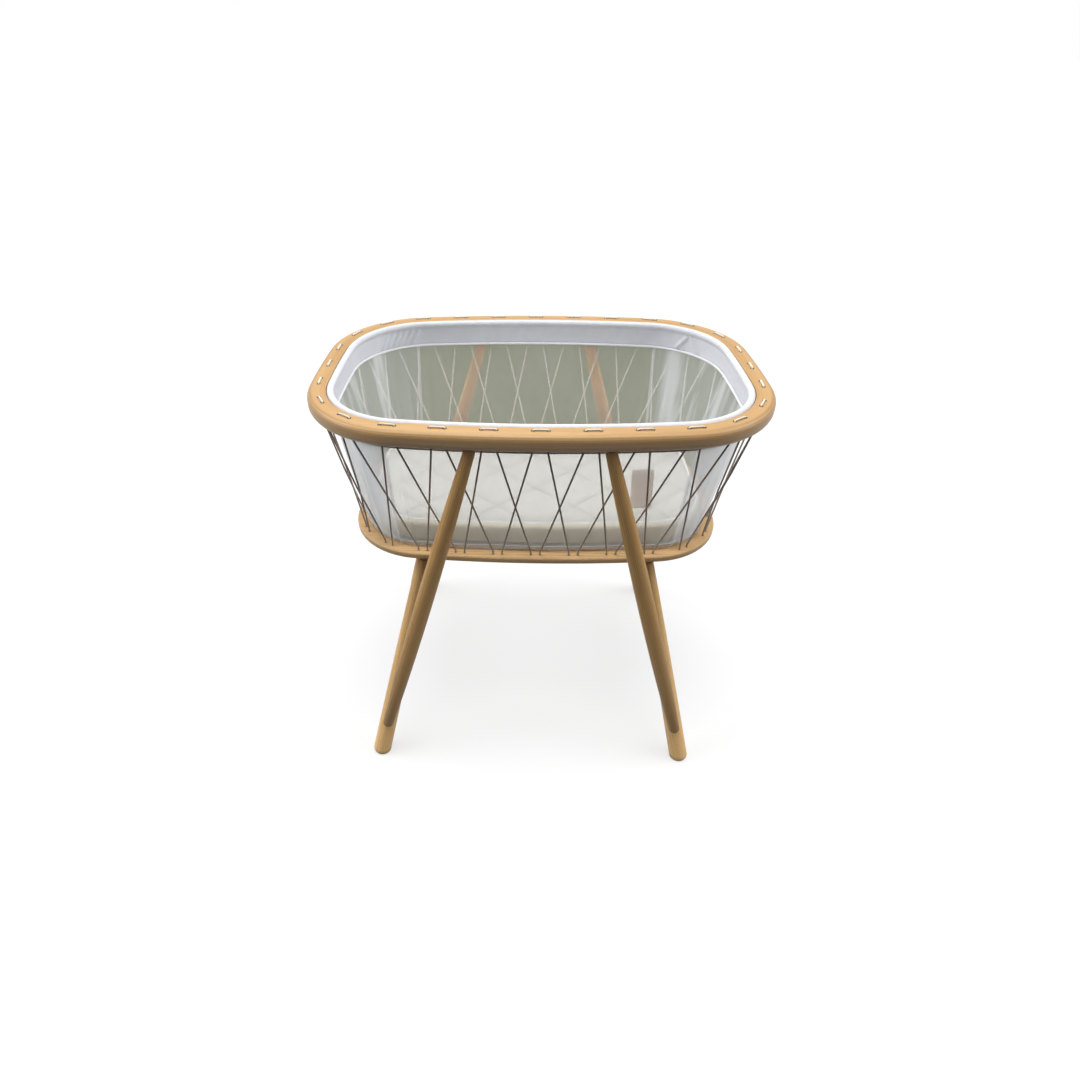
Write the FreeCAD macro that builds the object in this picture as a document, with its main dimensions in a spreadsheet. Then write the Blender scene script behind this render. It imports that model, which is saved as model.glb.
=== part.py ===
import FreeCAD, Part
import math
import os

from FreeCAD import Placement, Rotation, Vector
from Sketcher import Constraint

# A bassinet on a fixed stand: a bent hardwood hoop and an oval board joined by an X lattice of cord,
# a fabric liner with sheer walls, a mattress, and four pairs of turned legs.
# Millimetres, +Z up, origin on the floor under the middle. The long way is X, the front is -Y.

SIZES = {
    # top hoop, measured to the line that its lacing holes follow
    "rim_half_length": 420, "rim_half_width": 284,
    "rim_side_radius": 2260, "rim_end_radius": 2460, "rim_corner_radius": 186,
    "rim_outer_edge": 21, "rim_inner_edge": 15, "rim_thickness": 34,
    "rim_outer_round": 13, "rim_inner_round": 5, "total_height": 840,
    # base board, measured to its own line of lacing holes
    "board_half_length": 372, "board_half_width": 229,
    "board_side_radius": 2560, "board_end_radius": 3440, "board_corner_radius": 143,
    "board_edge": 13, "board_thickness": 14, "board_drop": 303, "board_round": 4,
    # lacing
    "lace_pairs": 28, "rim_hole_gap": 26, "board_hole_gap": 18, "lace_hole_radius": 2.75,
    "cord_radius": 1.75, "cord_turn": 3, "cord_soft_turn": 15, "cord_straight": 6, "cord_lift": 0.15,
    "crossing_bow": 2.3, "knot_radius": 4.5,
    # legs: one strut and one floor leg at each corner
    "strut_top_x": 119, "strut_top_y": 284,
    "strut_foot_x": 328.5, "strut_foot_y": 309, "strut_foot_z": 99,
    "strut_top_radius": 10, "strut_belly_radius": 17, "strut_foot_radius": 11.5, "strut_belly_part": 0.56,
    "leg_top_x": 224, "leg_top_y": 197, "leg_foot_x": 353, "leg_foot_y": 306,
    "rear_strut_foot_inset": 6.5, "rear_leg_foot_inset": 8,
    "leg_top_radius": 14, "leg_belly_radius": 18, "leg_foot_radius": 20.5, "leg_belly_part": 0.5,
    "foot_round": 15, "strut_round": 5, "trim_overrun": 6, "trim_depth": 30,
    "collar_radius": 11.5, "collar_length": 20, "pad_radius": 12, "pad_thickness": 3,
    # joinery
    "dowel_radius": 4, "dowel_half_length": 17, "dowel_overrun": 4, "joint_height": 30, "joint_drop": 6,
    "bolt_radius": 4, "bolt_reach": 60, "bolt_head_radius": 7, "bolt_head_height": 4, "bolt_head_depth": 3,
    "insert_radius": 6, "insert_length": 22,
    "bracket_width": 30, "bracket_thickness": 3, "bracket_x": 188, "bracket_y": 209,
    "bracket_rod_radius": 4.5, "screw_radius": 2, "screw_head_radius": 3.6, "screw_head_height": 1.4,
    "screw_length": 12, "screw_pitch": 20,
    # liner
    "band_inset": 17, "band_thickness": 2.5, "band_top": 6, "band_waist": 30, "band_bottom": 52,
    "hem_radius": 6, "hem_inset": 22.5,
    "wall_inset": 20, "piping_radius": 2, "mesh_thickness": 1.2, "floor_inset": 12, "floor_thickness": 1.2,
    "tape_top": 10, "tape_height": 18, "panel_corner": 275,
    "label_x": 170, "label_width": 40, "label_length": 100, "label_thickness": 1.6, "label_drop": 94,
    "label_stand_off": 3,
    # mattress
    "mattress_inset": 18, "mattress_height": 60, "mattress_round": 14, "core_round": 12, "cover_thickness": 2,
    "mattress_gap": 0.4,
}

doc = FreeCAD.newDocument("bassinet")
sizes = doc.addObject("Spreadsheet::Sheet", "Sizes")
for row, (alias, number) in enumerate(SIZES.items(), start=1):
    sizes.set(f"A{row}", alias)
    sizes.set(f"B{row}", str(number))
    sizes.setAlias(f"B{row}", alias)
doc.recompute()

CORNERS = {"front_left": (-1, -1), "front_right": (1, -1), "rear_left": (-1, 1), "rear_right": (1, 1)}
subparts = []


def size(alias):
    """The number in the sheet's cell of that name."""
    return float(sizes.get(alias))


def cell(text):
    """An expression of bare aliases, written with the sheet's name in front of each."""
    words = text.replace("(", " ( ").replace(")", " ) ").split()
    return " ".join(f"Sizes.{word}" if word in SIZES else word for word in words)


def number(text):
    """The value of an expression of bare aliases."""
    return float(sizes.evalExpression(cell(text)))


def finish(item, label):
    """Names a finished sub-part and keeps it for export."""
    item.Label = label
    subparts.append(item)
    return item


# ---- ovals: eight tangent arcs, two sides, two ends and four corners ----

class Oval:
    """An outline of eight tangent arcs, offset outwards from the rim's or the board's lacing line."""

    def __init__(self, family, offset="0"):
        self.half_length = f"( {family}_half_length + {offset} )"
        self.half_width = f"( {family}_half_width + {offset} )"
        self.side_radius = f"( {family}_side_radius + {offset} )"
        self.end_radius = f"( {family}_end_radius + {offset} )"
        self.corner_radius = f"( {family}_corner_radius + {offset} )"
        self.arcs = self.counterclockwise_arcs()

    def counterclockwise_arcs(self):
        """(centre, radius, start angle, end angle) of each arc, from the right end round to the front right."""
        side, end = number(self.side_radius), number(self.end_radius)
        corner = number(self.corner_radius)
        side_y = side - number(self.half_width)
        end_x = end - number(self.half_length)
        # the corner centre stands side - corner from one arc's centre and end - corner from the other's
        reach_side, reach_end = side - corner, end - corner
        between = math.hypot(end_x, side_y)
        along = (reach_side ** 2 - reach_end ** 2 + between ** 2) / (2 * between)
        across = math.sqrt(reach_side ** 2 - along ** 2)
        corner_x = (-end_x * along + side_y * across) / between
        corner_y = -side_y + (side_y * along + end_x * across) / between
        lower = math.atan2(corner_y, corner_x + end_x)
        upper = math.atan2(corner_y + side_y, corner_x)
        turn = math.pi
        return [
            (Vector(-end_x, 0, 0), end, -lower, lower),
            (Vector(corner_x, corner_y, 0), corner, lower, upper),
            (Vector(0, -side_y, 0), side, upper, turn - upper),
            (Vector(-corner_x, corner_y, 0), corner, turn - upper, turn - lower),
            (Vector(end_x, 0, 0), end, turn - lower, turn + lower),
            (Vector(-corner_x, -corner_y, 0), corner, turn + lower, turn + upper),
            (Vector(0, side_y, 0), side, turn + upper, 2 * turn - upper),
            (Vector(corner_x, -corner_y, 0), corner, 2 * turn - upper, 2 * turn - lower),
        ]

    def length(self):
        return sum(radius * (stop - start) for _, radius, start, stop in self.arcs)

    def point(self, distance):
        """The point at a distance along the outline, counterclockwise from the middle of the front,
        with the outward normal there."""
        _, side, start, stop = self.arcs[6]
        distance = (distance + side * (stop - start) / 2) % self.length()
        for centre, radius, start, stop in self.arcs[6:] + self.arcs[:6]:
            if distance <= radius * (stop - start):
                break
            distance -= radius * (stop - start)
        angle = start + distance / radius
        normal = Vector(math.cos(angle), math.sin(angle), 0)
        return centre + normal * radius, normal


def draw_oval(sketch, oval):
    """Adds an oval to a sketch, fully constrained, its sizes bound to the sheet."""
    first = sketch.GeometryCount
    for centre, radius, start, stop in oval.arcs:
        circle = Part.Circle(centre, Vector(0, 0, 1), radius)
        sketch.addGeometry(Part.ArcOfCircle(circle, start, stop), False)
    radii = [oval.end_radius, oval.corner_radius, oval.side_radius, oval.corner_radius] * 2
    for index in range(8):
        following = first + (index + 1) % 8
        sketch.addConstraint(Constraint("Tangent", first + index, 2, following, 1))
        bind(sketch, Constraint("Radius", first + index, number(radii[index])), radii[index])
    end_reach = f"{oval.end_radius} - {oval.half_length}"
    side_reach = f"{oval.side_radius} - {oval.half_width}"
    for index, axis in ((0, -1), (4, -1), (2, -2), (6, -2)):
        sketch.addConstraint(Constraint("PointOnObject", first + index, 3, axis))
    bind(sketch, Constraint("DistanceX", first, 3, -1, 1, number(end_reach)), end_reach)
    bind(sketch, Constraint("DistanceX", -1, 1, first + 4, 3, number(end_reach)), end_reach)
    bind(sketch, Constraint("DistanceY", first + 2, 3, -1, 1, number(side_reach)), side_reach)
    bind(sketch, Constraint("DistanceY", -1, 1, first + 6, 3, number(side_reach)), side_reach)


def bind(sketch, constraint, text):
    """Adds a dimension to a sketch and ties it to an expression of the sheet."""
    index = sketch.addConstraint(constraint)
    sketch.setExpression(f"Constraints[{index}]", cell(text))


def body_sketch(body, name, role):
    """A sketch on one of the body's own origin planes."""
    plane = next(feature for feature in body.Origin.OriginFeatures if feature.Role == role)
    sketch = body.newObject("Sketcher::SketchObject", name)
    sketch.AttachmentSupport = [(plane, "")]
    sketch.MapMode = "FlatFace"
    return sketch


def lift(item, text):
    """Raises an object, or moves a sketch along its plane's normal, to the height of an expression."""
    attached = getattr(item, "MapMode", "Deactivated") != "Deactivated"
    path = "AttachmentOffset.Base.z" if attached else "Placement.Base.z"
    item.setExpression(path, cell(text))


def oval_body(name, outlines, bottom, thickness):
    """A flat body padded up from a height, between one oval and perhaps a smaller one inside it."""
    body = doc.addObject("PartDesign::Body", name)
    outline = body_sketch(body, name + "_outline", "XY_Plane")
    for oval in outlines:
        draw_oval(outline, oval)
    lift(outline, bottom)
    pad = body.newObject("PartDesign::Pad", name + "_pad")
    pad.Profile = outline
    pad.setExpression("Length", cell(thickness))
    outline.Visibility = False
    doc.recompute()
    return body, pad


def round_edges(body, base, radius, chosen):
    """Rounds the edges of the last feature for which chosen(edge) holds."""
    names = [f"Edge{index}" for index, edge in enumerate(base.Shape.Edges, start=1) if chosen(edge)]
    fillet = body.newObject("PartDesign::Fillet", body.Name + "_round" + str(len(body.Group)))
    fillet.Base = (base, names)
    fillet.setExpression("Radius", cell(radius))
    doc.recompute()
    return fillet


def at_height(height):
    """A test for flat edges at a height."""
    def flat(edge):
        box = edge.BoundBox
        return abs(box.ZMin - height) < 0.01 and abs(box.ZMax - height) < 0.01
    return flat


def cut(label, base, *tools):
    """The base with each tool taken out of it in turn."""
    for tool in tools:
        remaining = doc.addObject("Part::Cut", label + "_cut")
        remaining.Base = base
        remaining.Tool = tool
        base = remaining
    doc.recompute()
    return base


def rod(name, start, stop, radius):
    """A cylinder between two points, its radius bound to a cell."""
    cylinder = doc.addObject("Part::Cylinder", name)
    cylinder.setExpression("Radius", cell(radius))
    cylinder.Height = (stop - start).Length
    cylinder.Placement = Placement(start, Rotation(Vector(0, 0, 1), stop - start))
    return cylinder


def gather(name, members):
    """Separate solids of one kind as one object."""
    compound = doc.addObject("Part::Compound", name)
    compound.Links = members
    doc.recompute()
    return compound


# ---- heights that several pieces share ----

RIM_TOP = "total_height"
RIM_UNDERSIDE = "( total_height - rim_thickness )"
BOARD_TOP = "( total_height - board_drop )"
BOARD_UNDERSIDE = "( total_height - board_drop - board_thickness )"
BAND_TOP = "( total_height - band_top )"
BAND_WAIST = "( total_height - band_waist )"
BAND_BOTTOM = "( total_height - band_bottom )"
MESH_TOP = "( total_height - band_bottom - 2 * piping_radius )"
MESH_BOTTOM = "( total_height - board_drop + floor_thickness )"
MATTRESS_BOTTOM = "( total_height - board_drop + floor_thickness + mattress_gap )"

rim_line = Oval("rim")
board_line = Oval("board")


def lacing_holes(body, sketch_name, line, gap, height):
    """Drills a pair of holes for each stitch, evenly spaced along a lacing line."""
    sketch = body_sketch(body, sketch_name, "XY_Plane")
    pairs = int(size("lace_pairs"))
    for stitch in range(pairs):
        for side in (-1, 1):
            centre, _ = line.point(stitch * line.length() / pairs + side * size(gap) / 2)
            circle = Part.Circle(centre, Vector(0, 0, 1), size("lace_hole_radius"))
            index = sketch.addGeometry(circle, False)
            bind(sketch, Constraint("Radius", index, size("lace_hole_radius")), "lace_hole_radius")
    lift(sketch, height)
    solid_volume = body.Shape.Volume
    pocket = body.newObject("PartDesign::Pocket", sketch_name + "_pocket")
    pocket.Profile = sketch
    pocket.Type = "ThroughAll"
    sketch.Visibility = False
    doc.recompute()
    if body.Shape.Volume >= solid_volume:
        raise RuntimeError(sketch_name + " cut nothing")


def make_rim():
    """The bent hoop: flat on top, well rounded outside, lightly rounded inside."""
    outer = Oval("rim", "rim_outer_edge")
    inner = Oval("rim", "0 - rim_inner_edge")
    body, pad = oval_body("rim_blank", [outer, inner], RIM_UNDERSIDE, "rim_thickness")

    def is_rim_edge(edge, outside):
        flat = at_height(number(RIM_TOP))(edge) or at_height(number(RIM_UNDERSIDE))(edge)
        middle = edge.valueAt((edge.FirstParameter + edge.LastParameter) / 2)
        return flat and beyond_line(middle) == outside

    def beyond_line(point):
        ring = rim_line.arcs
        polygon = [centre + Vector(math.cos((start + stop) / 2), math.sin((start + stop) / 2), 0) * radius
                   for centre, radius, start, stop in ring]
        nearest = min(polygon, key=lambda corner: math.hypot(corner.x - point.x, corner.y - point.y))
        return math.hypot(point.x, point.y) > math.hypot(nearest.x, nearest.y)

    outer_round = round_edges(body, pad, "rim_outer_round", lambda edge: is_rim_edge(edge, True))
    round_edges(body, outer_round, "rim_inner_round", lambda edge: is_rim_edge(edge, False))
    lacing_holes(body, "rim_holes", rim_line, "rim_hole_gap", RIM_TOP)
    return body


def make_board():
    """The thin oval board that the basket stands on."""
    body, pad = oval_body("board_blank", [Oval("board", "board_edge")], BOARD_UNDERSIDE, "board_thickness")
    top, underside = at_height(number(BOARD_TOP)), at_height(number(BOARD_UNDERSIDE))
    round_edges(body, pad, "board_round", lambda edge: top(edge) or underside(edge))
    lacing_holes(body, "board_holes", board_line, "board_hole_gap", BOARD_TOP)
    return body


def make_turned(name, start, stop, radii, belly_part, foot_round):
    """A turned leg member between two points: thin at the top, with a belly, and domed at its foot."""
    top_radius, belly_radius, foot_radius = radii
    span = (stop - start).Length
    body = doc.addObject("PartDesign::Body", name)
    profile = body_sketch(body, name + "_profile", "XZ_Plane")
    foot, top = Vector(size(foot_radius), 0, 0), Vector(size(top_radius), span, 0)
    belly = Vector(size(belly_radius), span * size(belly_part), 0)
    side = profile.addGeometry(Part.Arc(foot, belly, top), False)
    foot_line = profile.addGeometry(Part.LineSegment(Vector(0, 0, 0), foot), False)
    axis_line = profile.addGeometry(Part.LineSegment(Vector(0, span, 0), Vector(0, 0, 0)), False)
    top_line = profile.addGeometry(Part.LineSegment(top, Vector(0, span, 0)), False)
    belly_point = profile.addGeometry(Part.Point(belly), True)
    foot_end, top_end = (1, 2) if profile.Geometry[side].StartPoint.isEqual(foot, 0.01) else (2, 1)
    profile.addConstraint(Constraint("Coincident", side, foot_end, foot_line, 2))
    profile.addConstraint(Constraint("Coincident", side, top_end, top_line, 1))
    profile.addConstraint(Constraint("Coincident", foot_line, 1, axis_line, 2))
    profile.addConstraint(Constraint("Coincident", axis_line, 1, top_line, 2))
    profile.addConstraint(Constraint("Coincident", foot_line, 1, -1, 1))
    profile.addConstraint(Constraint("Vertical", axis_line))
    profile.addConstraint(Constraint("Horizontal", foot_line))
    profile.addConstraint(Constraint("Horizontal", top_line))
    profile.addConstraint(Constraint("PointOnObject", belly_point, 1, side))
    bind(profile, Constraint("DistanceX", -1, 1, side, foot_end, foot.x), foot_radius)
    bind(profile, Constraint("DistanceX", -1, 1, side, top_end, top.x), top_radius)
    bind(profile, Constraint("DistanceX", -1, 1, belly_point, 1, belly.x), belly_radius)
    bind(profile, Constraint("DistanceY", -1, 1, side, top_end, span), f"{span!r}")
    bind(profile, Constraint("DistanceY", -1, 1, belly_point, 1, belly.y), f"{span!r} * {belly_part}")
    turned = body.newObject("PartDesign::Revolution", name + "_turned")
    turned.Profile = profile
    turned.ReferenceAxis = (profile, ["V_Axis"])
    turned.Angle = 360
    profile.Visibility = False
    doc.recompute()
    round_edges(body, turned, foot_round, at_height(0))
    body.Placement = Placement(stop, Rotation(Vector(0, 0, 1), start - stop))
    return body


def slab(name, low, high):
    """A wide block between two heights, used to trim leg ends flat."""
    block = doc.addObject("Part::Box", name)
    block.Length = 4 * size("rim_half_length")
    block.Width = 4 * size("rim_half_width")
    block.setExpression("Height", cell(f"{high} - {low}"))
    block.Placement = Placement(Vector(-block.Length / 2, -block.Width / 2, 0), Rotation())
    lift(block, low)
    return block


# ---- legs and joinery ----

class Corner:
    """The centre lines of one corner's strut and floor leg."""

    def __init__(self, where, sign_x, sign_y):
        self.where = where
        self.sign_x, self.sign_y = sign_x, sign_y
        self.strut_top = self.place("strut_top", number(RIM_UNDERSIDE))
        self.strut_foot = self.place("strut_foot", size("strut_foot_z"))
        self.leg_top = self.place("leg_top", number(BOARD_UNDERSIDE))
        self.leg_foot = self.place("leg_foot", 0)
        self.strut_axis = (self.strut_top - self.strut_foot).normalize()
        self.leg_axis = (self.leg_top - self.leg_foot).normalize()
        self.shoulder = self.leg_top - self.leg_axis * size("collar_length")

    def place(self, alias, height):
        """One end of a member. The rear feet stand a little closer together than the front ones."""
        inset = size(f"rear_{alias}_inset") if self.sign_y > 0 and alias.endswith("foot") else 0
        return Vector(self.sign_x * (size(alias + "_x") - inset), self.sign_y * size(alias + "_y"), height)

    def on_leg(self, height):
        """The point of the leg's axis at a height."""
        return self.leg_foot + self.leg_axis * (height / self.leg_axis.z)

    def on_strut(self, height):
        """The point of the strut's axis at a height."""
        return self.strut_foot + self.strut_axis * ((height - self.strut_foot.z) / self.strut_axis.z)


def make_hardware(corner):
    """The hidden dowels, bolt and insert of one corner, which are also the tools that bore their holes."""
    where, up = corner.where, corner.leg_axis
    reach = corner.strut_axis * size("dowel_half_length")
    rim_dowel = rod("rim_dowel_" + where, corner.strut_top - reach, corner.strut_top + reach, "dowel_radius")
    joint_height = corner.strut_foot.z + size("joint_height")
    joint_start = corner.on_strut(joint_height)
    leg_height = joint_height - size("joint_drop")
    joint_stop = corner.on_leg(leg_height)
    beyond = (joint_stop - joint_start).normalize() * size("dowel_overrun")
    foot_dowel = rod("foot_dowel_" + where, joint_start - beyond, joint_stop + beyond, "dowel_radius")
    head_top = corner.on_leg(number(BOARD_TOP) - size("bolt_head_depth"))
    head_bottom = head_top - up * size("bolt_head_height")
    shaft = rod("bolt_shaft_" + where, head_bottom - up * size("bolt_reach"), head_bottom, "bolt_radius")
    head = rod("bolt_head_" + where, head_bottom, head_top, "bolt_head_radius")
    access = rod("bolt_access_" + where, head_bottom, head_top + up * size("bolt_head_height"),
                 "bolt_head_radius")
    bolt = doc.addObject("Part::Fuse", "bolt_" + where)
    bolt.Base, bolt.Tool = shaft, head
    sleeve = rod("insert_sleeve_" + where, corner.shoulder - up * size("insert_length"), corner.shoulder,
                 "insert_radius")
    return {"rim_dowel": rim_dowel, "foot_dowel": foot_dowel, "shaft": shaft, "access": access, "bolt": bolt,
            "sleeve": sleeve}


def make_bracket(corner):
    """The steel plate under the board, with the rod that reaches out to the strut."""
    where = corner.where
    thickness, half = size("bracket_thickness"), size("bracket_width") / 2
    underside = number(BOARD_UNDERSIDE)
    plate_bottom = underside - thickness
    middle = Vector(corner.sign_x * size("bracket_x"), corner.sign_y * size("bracket_y"), plate_bottom)
    plate = doc.addObject("Part::Box", "bracket_plate_" + where)
    plate.setExpression("Length", cell("bracket_width"))
    plate.setExpression("Width", cell("bracket_width"))
    plate.setExpression("Height", cell("bracket_thickness"))
    plate.Placement = Placement(middle - Vector(half, half, 0), Rotation())
    rod_height = middle.z - size("bracket_rod_radius") + 1
    root = Vector(middle.x, middle.y - corner.sign_y * half / 2, rod_height)
    arm = rod("bracket_rod_" + where, root, corner.on_strut(rod_height), "bracket_rod_radius")
    bracket = doc.addObject("Part::Fuse", "bracket_" + where)
    bracket.Base, bracket.Tool = plate, arm
    screws = []
    for side in (-1, 1):
        seat = middle + Vector(side * size("screw_pitch") / 2, 0, 0)
        drop = Vector(0, 0, size("screw_head_height"))
        tip = seat + Vector(0, 0, size("screw_length"))
        shank = rod("screw_shank_" + where, seat - drop, tip, "screw_radius")
        head = rod("screw_head_" + where, seat - drop, seat, "screw_head_radius")
        screw = doc.addObject("Part::Fuse", "screw_" + where)
        screw.Base, screw.Tool = shank, head
        screws.append(screw)
    return bracket, screws


def make_stand(rim, board):
    """The four corners' legs with their joinery, and the holes they need in the rim and the board."""
    above_rim_underside = slab("above_rim_underside", RIM_UNDERSIDE, RIM_TOP)
    above_board_underside = slab("above_board_underside", BOARD_UNDERSIDE, BOARD_TOP)
    below_pad_top = slab("below_pad_top", "( 0 - trim_depth )", "pad_thickness")
    kinds = {"rim_dowels": [], "foot_dowels": [], "leg_bolts": [], "leg_inserts": [], "bracket_screws": []}
    accesses = []
    for where, (sign_x, sign_y) in CORNERS.items():
        corner = Corner(where, sign_x, sign_y)
        tools = make_hardware(corner)
        bracket, screws = make_bracket(corner)
        overrun = size("trim_overrun")
        strut = make_turned("strut_blank_" + where, corner.strut_top + corner.strut_axis * overrun,
                            corner.strut_foot, ("strut_top_radius", "strut_belly_radius", "strut_foot_radius"),
                            "strut_belly_part", "strut_round")
        leg = make_turned("leg_blank_" + where, corner.shoulder, corner.leg_foot - corner.leg_axis * overrun,
                          ("leg_top_radius", "leg_belly_radius", "leg_foot_radius"),
                          "leg_belly_part", "foot_round")
        finish(cut("strut", strut, above_rim_underside, tools["rim_dowel"], tools["foot_dowel"], bracket),
               "rim_strut_" + where)
        finish(cut("leg", leg, below_pad_top, strut, tools["foot_dowel"], tools["sleeve"], tools["shaft"]),
               "floor_leg_" + where)
        collar = rod("collar_blank_" + where, corner.shoulder, corner.leg_top + corner.leg_axis * overrun,
                     "collar_radius")
        finish(cut("collar", collar, above_board_underside, tools["shaft"]), "leg_collar_" + where)
        finish(cut("bracket_finished", bracket, *screws), "strut_bracket_" + where)
        pad_top = corner.on_leg(0) + Vector(0, 0, size("pad_thickness"))
        pad = rod("pad_" + where, corner.on_leg(0), pad_top, "pad_radius")
        finish(pad, "foot_pad_" + where)
        kinds["rim_dowels"].append(tools["rim_dowel"])
        kinds["foot_dowels"].append(tools["foot_dowel"])
        kinds["leg_bolts"].append(tools["bolt"])
        kinds["leg_inserts"].append(cut("insert", tools["sleeve"], tools["shaft"]))
        kinds["bracket_screws"] += screws
        accesses.append(tools["access"])
    groups = {label: finish(gather(label, members), label) for label, members in kinds.items()}
    finish(cut("rim", rim, groups["rim_dowels"]), "top_rim")
    bored = cut("board", board, groups["leg_bolts"], gather("accesses", accesses), groups["bracket_screws"])
    finish(bored, "base_board")


# ---- lacing: two cords, each a zigzag round the whole basket ----

def rounded_wire(points, radii):
    """Straight runs joined by tangent arcs, one radius at each inner point."""
    edges = []
    start = points[0]
    for before, corner, after, radius in zip(points, points[1:], points[2:], radii):
        coming, going = (corner - before).normalize(), (after - corner).normalize()
        half_turn = coming.getAngle(going) / 2
        tangent = radius * math.tan(half_turn)
        enter, leave = corner - coming * tangent, corner + going * tangent
        inward = (going - coming).normalize()
        middle = corner + inward * (radius / math.cos(half_turn) - radius)
        edges.append(Part.LineSegment(start, enter).toShape())
        edges.append(Part.Arc(enter, middle, leave).toShape())
        start = leave
    edges.append(Part.LineSegment(start, points[-1]).toShape())
    return Part.Wire(edges)


def lace_hole(line, gap, stitch, side, height):
    """One hole of a lacing pair, at a height, and the outward normal there."""
    spot, normal = line.point(stitch * line.length() / size("lace_pairs") + side * size(gap) / 2)
    return Vector(spot.x, spot.y, height), normal


def make_cord(label, first_pair, bow):
    """One lacing cord: up from a knot under the board, over the rim, down, and so on round."""
    radius, turn, soft_turn = size("cord_radius"), size("cord_turn"), size("cord_soft_turn")
    over = number(RIM_TOP) + size("cord_lift") + radius
    under = number(BOARD_UNDERSIDE) - size("cord_lift") - radius
    below_rim = number(RIM_UNDERSIDE) - size("cord_straight")
    above_board = number(BOARD_TOP) + size("cord_straight")
    pairs = int(size("lace_pairs"))
    board_space = board_line.length() / pairs - size("board_hole_gap")
    rim_space = rim_line.length() / pairs - size("rim_hole_gap")
    crossing = board_space / (board_space + rim_space)

    def midway(line, gap, pair, height):
        """Halfway between the holes that face each other across the space after a pair, and the normal."""
        (near, normal), (far, far_normal) = [lace_hole(line, gap, pair, 1, height),
                                             lace_hole(line, gap, pair + 1, -1, height)]
        return (near + far) / 2, (normal + far_normal).normalize()

    def strand(low, high, space):
        """The bends of one strand, from the board up to the rim, bowed where it crosses the other cord."""
        bottom, top = Vector(low.x, low.y, above_board), Vector(high.x, high.y, below_rim)
        board_middle, outward = midway(board_line, "board_hole_gap", space, above_board)
        rim_middle, _ = midway(rim_line, "rim_hole_gap", space, below_rim)
        return [bottom, board_middle + (rim_middle - board_middle) * crossing + outward * bow, top]

    points, radii = [], []
    for pair in range(first_pair, first_pair + pairs, 2):
        low_right, _ = lace_hole(board_line, "board_hole_gap", pair, 1, under)
        high_left, _ = lace_hole(rim_line, "rim_hole_gap", pair + 1, -1, over)
        high_right, _ = lace_hole(rim_line, "rim_hole_gap", pair + 1, 1, over)
        low_left, _ = lace_hole(board_line, "board_hole_gap", pair + 2, -1, under)
        points += [low_right, *strand(low_right, high_left, pair), high_left, high_right]
        points += [*reversed(strand(low_left, high_right, pair + 1)), low_left]
        radii += [turn, soft_turn, soft_turn, soft_turn, turn, turn, soft_turn, soft_turn, soft_turn, turn]
    knot = Vector(0, 0, size("knot_radius") - radius)
    points[0] -= knot
    points[-1] -= knot
    route = rounded_wire(points, radii[1:-1])
    profile = Part.Wire(Part.Circle(points[0], Vector(0, 0, 1), radius).toShape())
    tube = route.makePipeShell([profile], True, False)
    expected = math.pi * radius ** 2 * route.Length
    if abs(tube.Volume / expected - 1) > 0.01:
        raise RuntimeError(f"{label}: volume {tube.Volume:.0f}, section times length {expected:.0f}")
    print(f"{label}: {route.Length:.0f} mm long, bends of {turn:.0f} and {soft_turn:.0f} mm")
    knots = [Part.makeSphere(size("knot_radius"), end) for end in (points[0], points[-1])]
    cord = doc.addObject("Part::Feature", label)
    cord.Shape = tube.fuse(knots)
    finish(cord, label)


# ---- liner: opaque band, corded seam, four sheer walls and a floor ----

def oval_section(name, oval, height):
    """A free oval sketch at a height, as a loft's section."""
    sketch = doc.addObject("Sketcher::SketchObject", name)
    draw_oval(sketch, oval)
    lift(sketch, height)
    return sketch


def oval_loft(name, sections):
    """A solid between stacked ovals, with straight walls from each to the next."""
    loft = doc.addObject("Part::Loft", name)
    loft.Sections = [oval_section(f"{name}_{index}", oval, height)
                     for index, (oval, height) in enumerate(sections)]
    loft.Solid = True
    loft.Ruled = True
    doc.recompute()
    return loft


def corded_oval(name, inset, height, radius):
    """A round cord inside the rim, at an inset from its lacing line."""
    body = doc.addObject("PartDesign::Body", name)
    path = body_sketch(body, name + "_path", "XY_Plane")
    draw_oval(path, Oval("rim", f"0 - {inset}"))
    lift(path, height)
    section = body_sketch(body, name + "_section", "YZ_Plane")
    across = f"( rim_half_width - {inset} )"
    middle = Vector(number(across), number(height), 0)
    circle = section.addGeometry(Part.Circle(middle, Vector(0, 0, 1), size(radius)), False)
    bind(section, Constraint("Radius", circle, size(radius)), radius)
    bind(section, Constraint("DistanceX", -1, 1, circle, 3, middle.x), across)
    bind(section, Constraint("DistanceY", -1, 1, circle, 3, middle.y), height)
    pipe = body.newObject("PartDesign::AdditivePipe", name + "_pipe")
    pipe.Profile = section
    pipe.Spine = path
    doc.recompute()
    return body


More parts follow.
